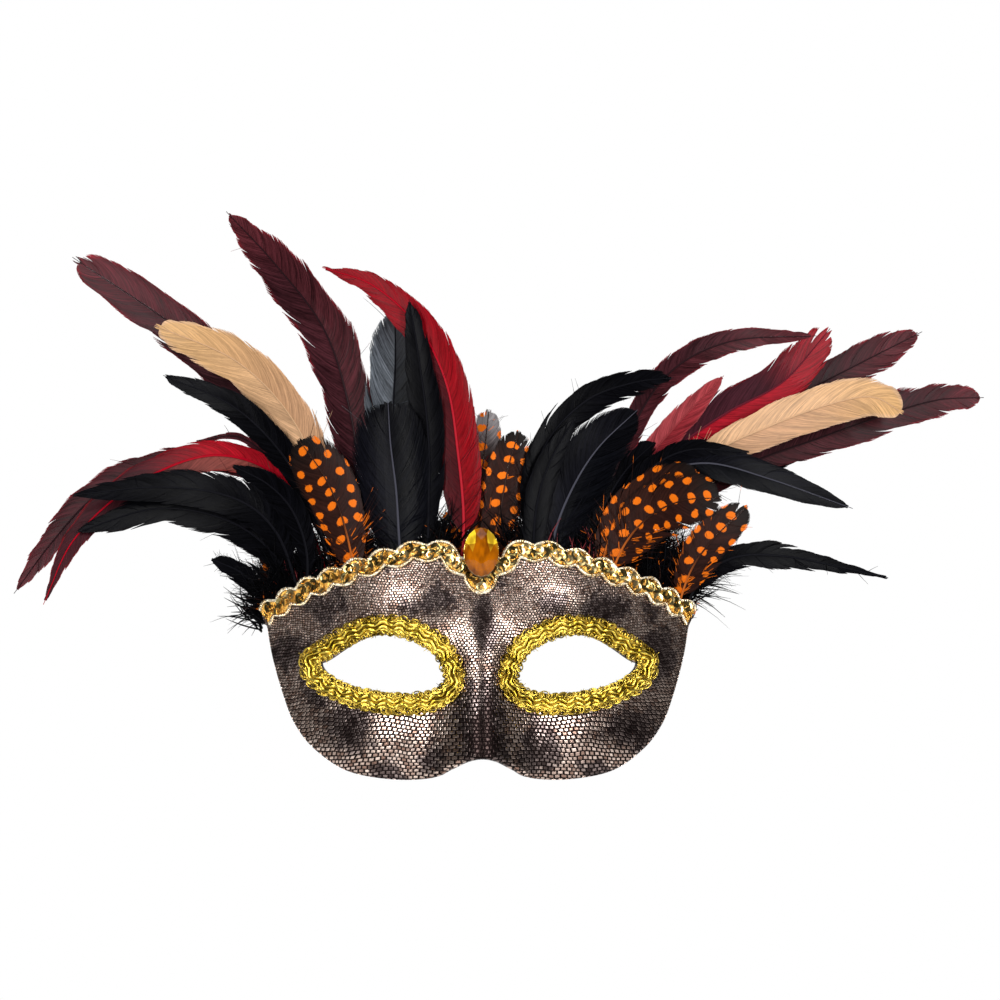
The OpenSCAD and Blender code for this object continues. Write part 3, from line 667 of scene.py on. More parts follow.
def eye_loops():
    """Frizzy loops of gold thread along both borders, and the loose ends that stand out of them."""
    rng = np.random.default_rng(11)
    loops = Batch()
    kinds = ((2.9, 1.7, 0.34, 0.9), (2.1, 1.2, 0.20, 0.6), (3.9, 2.1, 0.24, 0.8))
    for border, away in ((1.55, -1), (5.95, 1)):
        for pitch, reach, radius, height in kinds:
            count = round(EYE_LENGTH / pitch)
            n = count * LOOP_STEPS
            at, knots = np.arange(n) / LOOP_STEPS, np.arange(count + 1)
            size = np.interp(at, knots, np.resize(rng.uniform(0.55, 1.2, count), count + 1))
            lean = np.interp(at, knots, np.resize(rng.uniform(-0.5, 0.5, count), count + 1))
            phase = np.arange(n) * 2 * np.pi / LOOP_STEPS
            s = np.arange(n) * EYE_LENGTH / n + 0.62 * pitch * size * np.sin(phase) + lean * np.cos(phase)
            w = border + away * reach * size * (0.35 - 0.62 * np.cos(phase))
            h = height + 0.45 * size * np.sin(phase + lean)
            loops.add(thread(by_eye(s, w, np.maximum(h, 0.25)), radius, closed=True), closed=True)
    for _ in range(170):
        side = rng.choice([-1.0, 1.0])
        s = rng.uniform(0, EYE_LENGTH) + np.linspace(0, rng.normal(0, 0.8), 5)
        w = (BRAID_MIDDLE + side * 2.2) + side * np.linspace(0, rng.uniform(1.0, 2.5), 5)
        h = 0.6 + np.linspace(0, rng.uniform(0.0, 1.3), 5)
        loops.add(thread(by_eye(s, w, h), np.linspace(0.14, 0.09, 5), 5))
    return loops.piece("eye_loops_right", GOLD_MATERIAL, "gold_braid")


def eye_cords():
    """Two satin cords that wave side by side along the middle, and a thin one outside each.

    Each is laid of strands: its section has a lobe for each, and turns round as it goes.
    """
    cords = Batch()
    n, sides, lobes, depth, lay = 840, 14, 4, 0.10, 36.0
    angle = np.arange(sides) * 2 * np.pi / sides
    s = np.arange(n) * EYE_LENGTH / n
    waves = 21
    swing = np.sin(2 * np.pi * waves * s / EYE_LENGTH)
    for lane, radius, height, amplitude in ((2.9, 0.66, 1.15, 0.6), (4.7, 0.66, 1.15, 0.6),
                                            (1.75, 0.32, 0.9, 0.5), (5.8, 0.32, 0.9, 0.5)):
        rise = 0.10 * np.cos(4 * np.pi * waves * s / EYE_LENGTH)
        path = by_eye(s, lane + amplitude * swing, height + rise)
        run = distances(np.vstack([path, path[:1]]))
        # a whole number of turns, so that the ends meet
        turn = run[:-1] / run[-1] * 2 * np.pi * max(1, round(run[-1] / lay))
        wave = 1 - depth + depth * np.abs(np.cos((angle[None] - turn[:, None]) * lobes / 2))
        cords.add(thread(path, radius * wave, sides, closed=True), closed=True)
    return cords.piece("eye_cord_right", SATIN_MATERIAL, "gold_cord", ["eye_cords_right"])


def mirrored(piece, name, nodes=()):
    """The same piece on the mask's left side."""
    mesh = piece.data.copy()
    co = np.empty(len(mesh.vertices) * 3, dtype=np.float32)
    mesh.vertices.foreach_get("co", co)
    co[0::3] *= -1
    mesh.vertices.foreach_set("co", co)
    mesh.flip_normals()
    mesh.update()
    return declare(name, mesh, nodes)


tape_right, loops_right, cord_right = eye_tape(), eye_loops(), eye_cords()
mirrored(tape_right, "eye_tape_left", ["eye_braid_left"])
mirrored(loops_right, "eye_loops_left")
mirrored(cord_right, "eye_cord_left", ["eye_cords_left"])

# ---------------------------------------------------------------- brow trim

SCALLOP = 12.0         # mm from one scallop to the next at the middle
SCALLOP_GAIN = 2.2e-6  # how they draw closer towards the ends
SCALLOP_H = 2.2
TRIM_W = RIBBON_W + 2 * GAP + 4 * EDGE_CORD_R
SEQUIN_PITCH = 2.3
SEQUIN_SIDES = 20


def brow_track():
    """Points of the trim's middle line and the distance along it."""
    half = outline_points(0, BROW_SPANS, 16) - (0, RIBBON_IN)
    line = np.vstack([(half * (-1, 1))[:0:-1], half])
    # both ends stand a little past the shell
    line[0, 0] = -HALF_W - BROW_OUT
    line[-1, 0] = HALF_W + BROW_OUT
    fine = spline(line[::4], np.linspace(0, 1, 800))
    return fine, distances(fine)


BROW, BROW_RUN = brow_track()
BROW_LENGTH = BROW_RUN[-1]


def brow_point(s):
    """The point, in x and z, at distance s along the trim's middle line."""
    return np.stack([np.interp(s, BROW_RUN, BROW[:, 0]), np.interp(s, BROW_RUN, BROW[:, 1])], -1)


def brow_side(s):
    """The direction across the trim there."""
    return left_of(unit(brow_point(s + 1.5) - brow_point(s - 1.5)))


def on_trim(s, w, h):
    """A point on the brow trim: s along it, w across it, h above the cover."""
    s = np.clip(s, 1.0, BROW_LENGTH - 1.0)
    mid = s - BROW_LENGTH / 2
    turn = np.pi * (mid / SCALLOP + SCALLOP_GAIN * mid ** 3)
    up, down = np.abs(np.sin(turn)), np.abs(np.cos(turn))
    # the trim keeps its mean width: 1.27 is the mean of up + down
    widen = 1 + SCALLOP_H * (up + down - 1.27) / TRIM_W
    shift = np.asarray(w) * widen + SCALLOP_H * (up - down) / 2
    return skin(brow_point(s) + brow_side(s) * shift[..., None], -COVER_T - GAP - np.asarray(h))


def brow_ribbon():
    """The scalloped ribbon, with flat threads that cross over and under along it."""
    n = 700
    s = np.linspace(1.0, BROW_LENGTH - 1.0, n)
    half = RIBBON_W / 2
    profile = [(-half, 0.05), (-half, 0.35), (-half * 0.5, 0.62), (0, 0.5), (half * 0.5, 0.62),
               (half, 0.35), (half, 0.05)]
    ribbon = Batch()
    ribbon.add(np.stack([on_trim(s, np.full(n, w), np.full(n, h)) for w, h in profile], 1))
    ribbon.piece("trim_ribbon", RIBBON_MATERIAL, "champagne_ribbon", ["brow_ribbon"])
    strands = Batch()
    for k in range(8):
        turn = 2 * np.pi * s / 5.2 + k * np.pi / 4
        w = (half - 0.25) * np.sin(turn)
        h = 0.72 + 0.2 * np.sin(2 * turn + k)
        strands.add(thread(on_trim(s, w, h), 0.27))
    strands.piece("trim_threads", STITCH_MATERIAL, "champagne_ribbon")


def brow_edge_cords():
    """Along each edge, three gold threads laid round each other and a fine loose one outside them."""
    cords = Batch()
    s = np.linspace(1.0, BROW_LENGTH - 1.0, 2000)
    laid, loose = (0.34, 0.30, 1.9), (0.62, 0.12, -1.5)
    for side in (-1, 1):
        middle = side * (RIBBON_W / 2 + GAP + EDGE_CORD_R)
        for k, (orbit, radius, pitch) in enumerate((laid, laid, laid, loose)):
            turn = 2 * np.pi * (s / pitch + k / 3)
            path = on_trim(s, middle + orbit * np.cos(turn), EDGE_CORD_R + 0.12 + orbit * np.sin(turn))
            cords.add(thread(path, radius))
    cords.piece("trim_edge_cords", CHAMPAGNE_MATERIAL, "gold_cord", ["brow_edge_cords"])


def brow_sequins():
    """Overlapping cup sequins in two staggered rows, each sewn down through its centre hole."""
    rng = np.random.default_rng(5)
    r = SEQUIN_D / 2
    profile = [(0.62, 0.02), (0.68, 0.14), (1.2, 0.18), (r - 0.2, 0.36), (r, 0.40), (r, 0.30), (1.2, 0.04)]
    stitch = ((0.1, -0.35), (0.15, 0.35), (-0.1, 0.62), (-0.5, 0.55), (-1.5, 0.42), (-2.1, -0.1))
    angle = np.arange(SEQUIN_SIDES) * 2 * np.pi / SEQUIN_SIDES
    count = int((BROW_LENGTH - SEQUIN_D - 2) / SEQUIN_PITCH)
    start = (BROW_LENGTH - (count - 1) * SEQUIN_PITCH) / 2
    sequins, stitches = Batch(), Batch()
    for i in range(count):
        s = np.array([start + i * SEQUIN_PITCH])
        w = np.array([0.75 * (-1) ** i])
        base = on_trim(s, w, np.array([1.15]))[0]
        up = unit(on_trim(s, w, np.array([2.15]))[0] - base)
        along = unit(on_trim(s + 0.5, w, np.array([1.15]))[0] - base)
        tip = math.radians(9 + rng.uniform(-5, 6))
        axis = unit(up * math.cos(tip) - along * math.sin(tip) + rng.normal(0, 0.10, 3))
        u = unit(along - axis * (along @ axis))
        v = np.cross(axis, u)
        spokes = np.cos(angle)[:, None] * u + np.sin(angle)[:, None] * v
        ring = [base + axis * h + d * spokes for d, h in profile]
        sequins.add(np.array(ring).transpose(1, 0, 2), closed=True,
                    chance=np.full(SEQUIN_SIDES * len(profile), rng.uniform()))
        way = rng.uniform(0, 2 * np.pi)
        over = math.cos(way) * u + math.sin(way) * v
        path = [base + over * reach + axis * lift for reach, lift in stitch]
        stitches.add(thread(spline(path, np.linspace(0, 1, 16)), 0.2))
    sequins.piece("trim_sequins", SEQUIN_MATERIAL, "sequin_film", ["brow_sequins"], smooth=False)
    stitches.piece("trim_stitches", STITCH_MATERIAL, "champagne_ribbon")


brow_ribbon()
brow_edge_cords()
brow_sequins()

# ---------------------------------------------------------------- stone

STONE_Y = float(face_y(np.array(0.0), np.array(34.0))) - COVER_T - RIBBON_T - 2 * EDGE_CORD_R - 1.2


def oval_ring(n, scale, y, turn=0.0, z=STONE_Z):
    """n points round the stone's oval at depth y, begun turn steps on."""
    a = (np.arange(n) + turn) * 2 * np.pi / n
    return np.stack([STONE_W / 2 * scale * np.cos(a), np.full(n, y),
                     z + STONE_H / 2 * scale * np.sin(a)], -1)


def stone():
    """Eight kite facets round a table, with a row of triangles down to the girdle."""
    front = STONE_Y - FOIL_T - GAP
    rings = [oval_ring(16, 0.95, front), oval_ring(16, 1.0, front - 0.4), oval_ring(16, 1.0, front - 0.9),
             oval_ring(8, 0.80, front - 2.5, 0.5), oval_ring(8, 0.50, front - 3.55),
             oval_ring(1, 0.0, front - 3.75)]
    first = np.concatenate([[0], np.cumsum([len(r) for r in rings])])
    quads = [[first[k] + i, first[k] + (i + 1) % 16, first[k + 1] + (i + 1) % 16, first[k + 1] + i]
             for k in (0, 1) for i in range(16)]
    girdle, middle, table, centre = first[2], first[3], first[4], first[5]
    sides = []
    for i in range(8):
        a, b, c = girdle + 2 * i, girdle + 2 * i + 1, girdle + (2 * i + 2) % 16
        kite, after = middle + i, middle + (i + 1) % 8
        edge, next_edge = table + i, table + (i + 1) % 8
        sides += [(a, b, kite), (b, c, kite), (c, after, kite), (kite, after, next_edge),
                  (kite, next_edge, edge), (edge, next_edge, centre)]
    back = np.arange(16)[::-1][None]
    make_piece("amber_stone", np.vstack(rings), [np.array(quads), np.array(sides), back], STONE_MATERIAL,
               "amber_stone", ["stone"], smooth=False)


def stone_seat():
    """The stone's foil back, and the felt pad under it."""
    n = 48
    foil = Batch()
    foil.add(np.stack([oval_ring(n, scale, STONE_Y - FOIL_T * out)
                       for scale, out in ((0.97, 0), (0.99, 0.6), (0.93, 1))]))
    foil.piece("stone_back_foil", FOIL_MATERIAL, "stone_foil", ["stone_foil"], smooth=False)
    pad = Batch()
    pad.add(np.stack([oval_ring(n, scale, STONE_Y + GAP + PAD_T * back, z=STONE_Z - 1)
                      for scale, back in ((0.84, 1), (0.92, 0.7), (0.93, 0.3), (0.88, 0))]))
    pad.piece("stone_felt_pad", PAD_MATERIAL, "pad_felt", ["stone_pad"])


stone()
stone_seat()

# ---------------------------------------------------------------- the fan of feathers

FAN_X = 72.0   # past these distances sideways and up the fan's slope eases
FAN_Z = 45.0
CURVE = MASK_DEPTH / HALF_W ** 2
# the mask's upper edge and its straight run on past both sides
EDGE = np.array([[0, 34], [15, 45], [29, 44], [47, 38], [65, 30], [79, 21], [200, -100]], dtype=float)
VANE_START = 0.14   # where the vanes begin and end along the shaft
VANE_END = 0.985
LAST_BARB = 0.982   # where the last barb leaves the shaft
BARB_SPACING = 0.5
BARB_STATIONS = 6
BARB_WIDTH = [0, 0.15, 0.7, 0.92, 1.0], [0.5, 0.58, 0.48, 0.38, 0.14]  # shares of the barb's length, and mm
BARB_THICKNESS = [0, 1], [0.085, 0.03]
HAIR_STATIONS = 8
# sections of a barb and of a loose hair, in half widths across and thicknesses up
BARB_SECTION = ((-1, 0.02), (0, -0.6), (1, -0.02), (0, 0.8))
HAIR_SECTION = ((-1, 0), (0, -0.8), (1, 0), (0, 0.8))

# name, layer, points (x, z) of the shaft, width, base and tip exponents, curl: as in the CAD model;
# then the look's name.
FEATHERS = [
    ("left_wine_high", 8, [(-49, 33), (-61, 62), (-80, 93), (-108, 124), (-151, 154)],
     20, 0.7, 0.3, 8, "wine"),
    ("left_tan", 6, [(-48, 35), (-57, 62), (-68, 91), (-89, 114), (-120, 128)], 19, 0.6, 0.35, 4, "tan"),
    ("left_black_slim", 4, [(-54, 34), (-62, 60), (-74, 81), (-92, 98), (-117, 109)],
     12, 0.6, 0.5, -4, "black"),
    ("left_wine_wisp", 10, [(-58, 32), (-66, 58), (-76, 76), (-89, 86), (-105, 84)],
     4, 0.7, 0.8, 4, "wisp"),
    ("left_red_arch", 7, [(-55, 32), (-70, 67), (-96, 79), (-126, 69), (-150, 48), (-162, 23)],
     14, 0.7, 0.9, -8, "red_dark_tip"),
    ("left_wine_droop", 9, [(-60, 31), (-72, 64), (-94, 76), (-119, 75), (-142, 64), (-159, 46), (-173, 27)],
     14, 0.7, 0.6, 0, "wine"),
    ("left_black_droop_high", 3, [(-66, 25), (-75, 50), (-91, 63), (-118, 67), (-152, 64)],
     17, 0.5, 0.7, -6, "black"),
    ("left_black_droop_low", 5, [(-69, 23), (-76, 42), (-94, 55), (-120, 59), (-150, 50)],
     17, 0.5, 0.6, -2, "black_ragged"),
    ("left_black_curl", 2, [(-64, 25), (-64, 43), (-69, 58), (-78, 68), (-91, 75)],
     12, 0.6, 0.6, 3, "black"),
    ("left_guinea_large", 1, [(-46, 29), (-48, 44), (-52, 59), (-58, 72), (-67, 85)],
     23, 0.5, 0.35, -3, "guinea"),
    ("left_guinea_small", 7, [(-72, 20), (-74, 29), (-76, 39), (-79, 50)], 12, 0.5, 0.4, 2, "guinea"),
    ("left_black_low", 8, [(-76, 17), (-80, 27), (-88, 35), (-99, 40)], 13, 0.4, 0.6, 2, "down"),
    ("left_wine_tall", 7, [(-40, 31), (-43, 62), (-48, 97), (-57, 126), (-75, 151), (-93, 171)],
     22, 0.6, 0.6, 10, "wine"),
    ("left_red_tall", 4, [(-8, 30), (-6, 54), (-8, 80), (-12, 105), (-22, 126), (-39, 142), (-58, 149)],
     19, 0.4, 0.8, -10, "red_split"),
    ("left_black_grey", 5, [(-25, 31), (-30, 60), (-32, 88), (-31, 113), (-31, 134)],
     24, 0.8, 0.5, 0, "black_grey"),
    ("left_black_broad", 2, [(-29, 32), (-30, 49), (-31, 66), (-33, 83), (-34, 99)],
     31, 0.45, 0.3, -6, "black_satin"),
    ("left_black_inner", 3, [(-20, 31), (-19, 58), (-19, 86), (-22, 112), (-26, 137)],
     14, 0.6, 0.6, -5, "black"),
    ("centre_guinea_left", 7, [(-3, 26), (-4, 38), (-7, 48), (-12, 58)], 14, 0.5, 0.35, 0, "guinea_bright"),
    ("centre_guinea_tall", 8, [(0, 25), (0, 43), (0, 61), (2, 79), (4, 96)],
     13, 0.6, 0.3, 2, "guinea_grey"),
    ("centre_guinea_right", 6, [(3, 26), (5, 44), (8, 60), (11, 75), (15, 88)],
     18, 0.5, 0.35, -2, "guinea"),
    ("right_black_sweep", 4, [(17, 31), (18, 60), (25, 83), (40, 99), (58, 106), (74, 108)],
     15, 0.6, 0.6, -4, "black_ragged"),
    ("right_wine_sweep", 6, [(33, 31), (47, 62), (59, 91), (74, 111), (97, 122), (129, 124)],
     13, 0.7, 0.6, -8, "wine"),
    ("right_black_broad", 3, [(25, 31), (28, 50), (35, 67), (45, 82), (60, 96)],
     26, 0.5, 0.5, 0, "black_satin"),
    ("right_black_inner", 2, [(21, 31), (20, 48), (22, 64), (27, 78), (36, 93)], 12, 0.5, 0.6, -3, "black"),
    ("right_black_mid", 5, [(38, 32), (42, 48), (48, 62), (56, 74), (67, 84)], 18, 0.5, 0.5, 2, "black"),
    ("right_red_long", 8, [(44, 33), (59, 62), (75, 81), (95, 95), (117, 107), (135, 127)],
     19, 0.6, 0.3, 0, "red_two_tone"),
    ("right_red_short", 7, [(41, 33), (53, 58), (63, 76), (77, 92), (94, 109)], 12, 0.5, 0.5, 2, "pink"),
    ("right_wine_high", 10, [(51, 33), (67, 61), (90, 83), (116, 98), (143, 112), (171, 126)],
     17, 0.7, 0.35, 8, "wine"),
    ("right_tan", 5, [(55, 33), (71, 62), (90, 80), (111, 90), (133, 98), (150, 101), (162, 95)],
     18, 0.6, 0.35, -4, "tan"),
    ("right_wine_outer", 9, [(59, 32), (77, 58), (102, 75), (129, 85), (155, 94), (176, 100), (194, 101)],
     17, 0.7, 0.4, 4, "wine"),
    ("right_black_under", 11, [(62, 31), (74, 56), (93, 70), (112, 76), (133, 83)],
     9, 0.6, 0.6, 4, "black"),
    ("right_black_arch", 3, [(48, 32), (53, 56), (64, 73), (80, 81), (103, 80)], 10, 0.6, 0.7, 0, "black"),
    ("right_black_outer", 4, [(51, 31), (58, 54), (69, 71), (87, 76), (111, 70), (142, 59)],
     14, 1.0, 0.6, -6, "black_satin"),
    ("right_guinea_large", 1, [(47, 29), (54, 45), (64, 56), (77, 62), (92, 63)],
     25, 0.45, 0.35, -2, "guinea"),
    ("right_guinea_upper", 2, [(44, 29), (48, 46), (56, 58), (68, 67), (84, 72)],
     18, 0.5, 0.35, 0, "guinea"),
    ("right_guinea_small", 0, [(74, 20), (80, 36), (89, 48), (102, 60)], 18, 0.5, 0.4, 0, "guinea"),
    ("right_black_low", 2, [(76, 17), (84, 33), (98, 41), (117, 41), (137, 37), (155, 33)],
     13, 0.4, 1.1, -4, "black_ragged"),
]


def past(v, start, slope, flat, soft):
    """The rise beyond start, whose slope eases from slope to flat over about soft mm."""
    d = np.maximum(0, v - start)
    return flat * d + (slope - flat) * soft * (1 - np.exp(-d / soft))


def fan_y(x, z):
    """How far back the fan lies."""
    u = np.minimum(np.abs(x), FAN_X)
    w = np.minimum(z, FAN_Z)
    return (CURVE * u * u + past(np.abs(x), FAN_X, 2 * CURVE * FAN_X, 0.15, 20)
            + BROW_LEAN * w * w + past(z, FAN_Z, 2 * BROW_LEAN * FAN_Z, 0.12, 20)
            + SHELL_T + HEM_T + LINING_T + 0.6 + 1.2 * np.minimum(1, np.abs(x) / HALF_W) ** 2)


def layer_step(x, z):
    """The room between two layers: little at the roots, more towards the tips."""
    h = z - np.interp(np.abs(x), EDGE[:, 0], EDGE[:, 1])
    return np.clip(0.84 + 0.04 * np.minimum(h, 0), 0.36, 0.84) + 0.012 * np.clip(h, 0, 130)


def fan_point(p, layer, back):
    """A point (x, z) of the fan, in a layer counted from the front and moved back."""
    x, z = p[..., 0], p[..., 1]
    return np.stack([x, fan_y(x, z) + layer * layer_step(x, z) + back, z], -1)


def outline_share(t, p, q):
    """A vane's width at t as a share of its widest: small p and q make a blunt base and tip."""
    top = p / (p + q)
    return t ** p * (1 - t) ** q / (top ** p * (1 - top) ** q)


# What each kind of feather looks like. left and right are the vanes on the two sides of the shaft, seen
# with the root down. edge tints the ends of the barbs, and tip the feather's end from tip_from on. root is
# the shaft's colour at its root. lean is the barbs' angle to the shaft at the root, a third of the way along
# and at the tip. uneven makes the outline wave, ragged shortens clumps of barbs, split opens gaps between
# them and wavy lifts them. down is the number of fluffy hairs at the root and stray that of loose hairs.
# quill is the shaft's radius. The streak range and gloss are the ranges of brightness and roughness; the
# brightness is partly the barbs' own tone and partly painted sheen and shading. shine is how strongly the
# barbs reflect. spots is the colour of the dots, and fluff that of the vane near its root.
WINE = dict(slot="feather_wine", left=(0.025, 0.0062, 0.0085), right=(0.030, 0.0062, 0.0082),
            edge=(0.15, 0.007, 0.012), shaft=(0.018, 0.007, 0.009), tip=(0.050, 0.009, 0.012),
            tip_from=(0.72, 1.0), lean=(44, 36, 26), uneven=0.22, ragged=0.18, split=0.14, wavy=0.22,
            down=30, stray=2, quill=0.45, streaks_and_sheen=(0.4, 2.1), gloss=(0.26, 0.42), shine=0.06)
RED = dict(slot="feather_red", left=(0.19, 0.001, 0.005), right=(0.19, 0.001, 0.005),
           edge=(0.20, 0.004, 0.008), shaft=(0.32, 0.001, 0.010), tip=(0.15, 0.001, 0.005),
           tip_from=(0.72, 1.0), lean=(36, 28, 18), uneven=0.10, ragged=0.12, split=0.16, wavy=0.12,
           down=20, stray=2, quill=0.5, streaks_and_sheen=(0.55, 1.5), gloss=(0.30, 0.46), shine=0.06)
BLACK = dict(slot="feather_black", left=(0.0012, 0.0012, 0.0017), right=(0.0012, 0.0012, 0.0018),
             edge=(0.0026, 0.0026, 0.0034), shaft=(0.006, 0.006, 0.008), tip=(0.002, 0.002, 0.0028),
             tip_from=(0.72, 1.0), lean=(40, 32, 20), uneven=0.14, ragged=0.18, split=0.2, wavy=0.28, down=30,
             stray=4, quill=0.42, streaks_and_sheen=(0.5, 2.0), gloss=(0.22, 0.36), shine=0.026)
GUINEA = dict(slot="feather_guinea", left=(0.019, 0.0055, 0.0035), right=(0.017, 0.005, 0.0035),
              edge=(0.006, 0.004, 0.0035), shaft=(0.022, 0.008, 0.005), tip=(0.006, 0.004, 0.0035),
              tip_from=(0.72, 1.0), spots=(0.66, 0.135, 0.004), lean=(50, 42, 30), uneven=0.07, ragged=0.17,
              split=0.24, wavy=0.10, down=50, stray=8, quill=0.34, streaks_and_sheen=(0.6, 1.45), gloss=(0.36, 0.5),
              shine=0.08, root=(0.50, 0.12, 0.015))
LOOKS = {
    "wine": WINE,
    "wisp": {**WINE, "ragged": 0.3, "split": 0.3, "down": 10, "stray": 1},
    "red_dark_tip": {**RED, "left": (0.17, 0.040, 0.032), "right": (0.26, 0.002, 0.008),
                     "tip": (0.035, 0.006, 0.009), "tip_from": (0.38, 0.62), "uneven": 0.16, "split": 0.25},
    "red_split": {**RED, "left": (0.045, 0.004, 0.006), "right": (0.17, 0.001, 0.004), "split": 0.4,
                  "tip": (0.17, 0.001, 0.005), "tip_from": (0.55, 0.75)},
    "red_two_tone": {**RED, "left": (0.036, 0.007, 0.012), "right": (0.27, 0.006, 0.014),
                     "shaft": (0.10, 0.01, 0.02), "tip": (0.24, 0.013, 0.02)},
    "pink": {**RED, "left": (0.30, 0.045, 0.052), "right": (0.23, 0.020, 0.027), "edge": (0.32, 0.06, 0.065),
             "shaft": (0.26, 0.035, 0.04), "tip": (0.28, 0.035, 0.042)},
    "black": BLACK,
    "black_satin": {**BLACK, "left": (0.0020, 0.0020, 0.0034), "right": (0.0013, 0.0014, 0.0022),
                    "shaft": (0.05, 0.05, 0.065), "ragged": 0.06, "split": 0.08, "wavy": 0.14, "down": 40,
                    "shine": 0.035},
    "black_ragged": {**BLACK, "edge": (0.005, 0.0035, 0.004), "ragged": 0.3, "split": 0.45, "wavy": 0.4,
                     "uneven": 0.25, "down": 60, "stray": 12},
    "black_grey": {**BLACK, "left": (0.045, 0.050, 0.058), "right": (0.007, 0.0075, 0.009),
                   "edge": (0.09, 0.10, 0.11), "tip": (0.02, 0.02, 0.024), "split": 0.3,
                   "streaks_and_sheen": (0.3, 2.2)},
    "tan": dict(slot="feather_tan", left=(0.56, 0.335, 0.185), right=(0.45, 0.250, 0.135),
                edge=(0.58, 0.37, 0.24), shaft=(0.52, 0.32, 0.18), tip=(0.52, 0.30, 0.125),
                tip_from=(0.5, 1.0), lean=(32, 25, 16), uneven=0.16, ragged=0.12, split=0.14, wavy=0.12,
                down=50, stray=2, quill=0.3, streaks_and_sheen=(0.62, 1.28), gloss=(0.36, 0.5), shine=0.18),
    "down": {**BLACK, "ragged": 0.5, "split": 0.5, "wavy": 0.5, "down": 170, "stray": 50},
    "guinea": GUINEA,
    "guinea_bright": {**GUINEA, "left": (0.030, 0.008, 0.004), "right": (0.030, 0.008, 0.004),
                      "edge": (0.05, 0.012, 0.004), "ragged": 0.3, "split": 0.3, "down": 90, "stray": 14,
                      "fluff": (0.27, 0.05, 0.005)},
    "guinea_grey": {**GUINEA, "left": (0.030, 0.016, 0.014), "right": (0.033, 0.019, 0.017),
                    "edge": (0.15, 0.14, 0.14), "tip": (0.20, 0.185, 0.19), "ragged": 0.3, "split": 0.45,
                    "wavy": 0.3, "down": 60, "stray": 30},
}


def feather_material(name, look):
    """Dyed barbs: each vane's colour, streaks that are partly painted sheen and shading, a tinted edge and
    tip, and spots where the look has them.
    """
    g = Graph(name, specular_ior_level=look["shine"])
    along, up, chance = g.parts(g.value("barb").outputs["Vector"])
    side = g.value("side").outputs["Fac"]
    core = g.value("core").outputs["Fac"]
    down_shaft, across, root = g.parts(g.value("place").outputs["Vector"])
    vane = g.mix(side, look["left"], look["right"])
    vane = g.mix(g.band(up, *look["tip_from"]), vane, look["tip"])
    vane = g.mix(g.band(along, 0.78, 1.05, 0.0, 0.8), vane, look["edge"])
    # the streaks' brightness is partly the barbs' own tone and partly painted sheen and shading
    streak = g.noise(g.join(g.math("MULTIPLY", root, 1.3), g.math("MULTIPLY", across, 0.10)), 1.0, 4.0, 0.7)
    faint, bright = look["streaks_and_sheen"]
    by_barb = g.band(chance, 0.0, 1.0, (1 + faint) / 2, (1 + bright) / 2, smooth=False)
    light = g.math("MULTIPLY", by_barb, g.band(streak, 0.3, 0.7, faint, bright))
    vane = g.mix(1.0, vane, g.join(light, light, light), "MULTIPLY")
    if "spots" in look:
        cell = g.add("ShaderNodeTexVoronoi", {"Vector": g.join(down_shaft, across), "Scale": 1 / 6.2,
                                              "Randomness": 0.34}, voronoi_dimensions="2D")
        ragged_edge = g.math("MULTIPLY", g.math("SUBTRACT", g.noise(g.join(root, 0.0), 1.3), 0.5), 0.10)
        spot = g.band(g.math("ADD", cell.outputs["Distance"], ragged_edge), 0.215, 0.26, 1.0, 0.0)
        vane = g.mix(spot, vane, look["spots"])
    if "fluff" in look:
        vane = g.mix(g.band(up, 0.05, 0.4, 0.8, 0.0), vane, look["fluff"])
    quill = g.mix(g.band(up, 0.1, 0.5), look.get("root", look["shaft"]), look["shaft"])
    g.set("Base Color", g.mix(core, vane, quill))
    g.set("Roughness", g.band(streak, 0.3, 0.7, *look["gloss"]))
    return g.material


def clump_values(rng, n, mean):
    """A clump number for each of n barbs, in runs of about mean barbs."""
    sizes = rng.integers(max(2, int(mean * 0.4)), int(mean * 1.8) + 2, n)
    return np.repeat(np.arange(n), sizes)[:n]


def bent_paths(start, middle, end, stations):
    """Curves from start to end that set off towards middle: points, left sides and shares of the way."""
    u = np.linspace(0, 1, stations)[None, :, None]
    path = start[:, None] * (1 - u) ** 2 + 2 * middle[:, None] * u * (1 - u) + end[:, None] * u ** 2
    slope = unit(2 * (middle - start)[:, None] * (1 - u) + 2 * (end - middle)[:, None] * u)
    return path, left_of(slope), u[..., 0]


class Feather:
    """A feather's shaft in the fan, read by t from 0 at the root to 1 at the tip."""

    def __init__(self, layer, points, width, base, tip, curl):
        self.layer, self.points, self.width, self.curl = layer, points, width, curl
        self.base, self.tip = base, tip
        steps = spline(points, np.linspace(0, 1, 60))
        self.length = np.linalg.norm(np.diff(steps, axis=0), axis=1).sum()

    def half_width(self, t):
        v = np.clip((t - VANE_START) / (VANE_END - VANE_START), 1e-4, 1 - 1e-4)
        return np.maximum(0.35, self.width * outline_share(v, self.base, self.tip) / 2)

    def frame_at(self, t):
        """The shaft's point, its direction and the direction to its left."""
        c = spline(self.points, t)
        before, after = np.maximum(t - 0.02, 0), np.minimum(t + 0.02, 1)
        d = unit(spline(self.points, after) - spline(self.points, before))
        return c, d, left_of(d)

    def lay(self, p, t, back):
        """A point beside the shaft, laid in the fan with the feather's own curl."""
        return fan_point(p, self.layer, self.curl * t ** 3 + back)


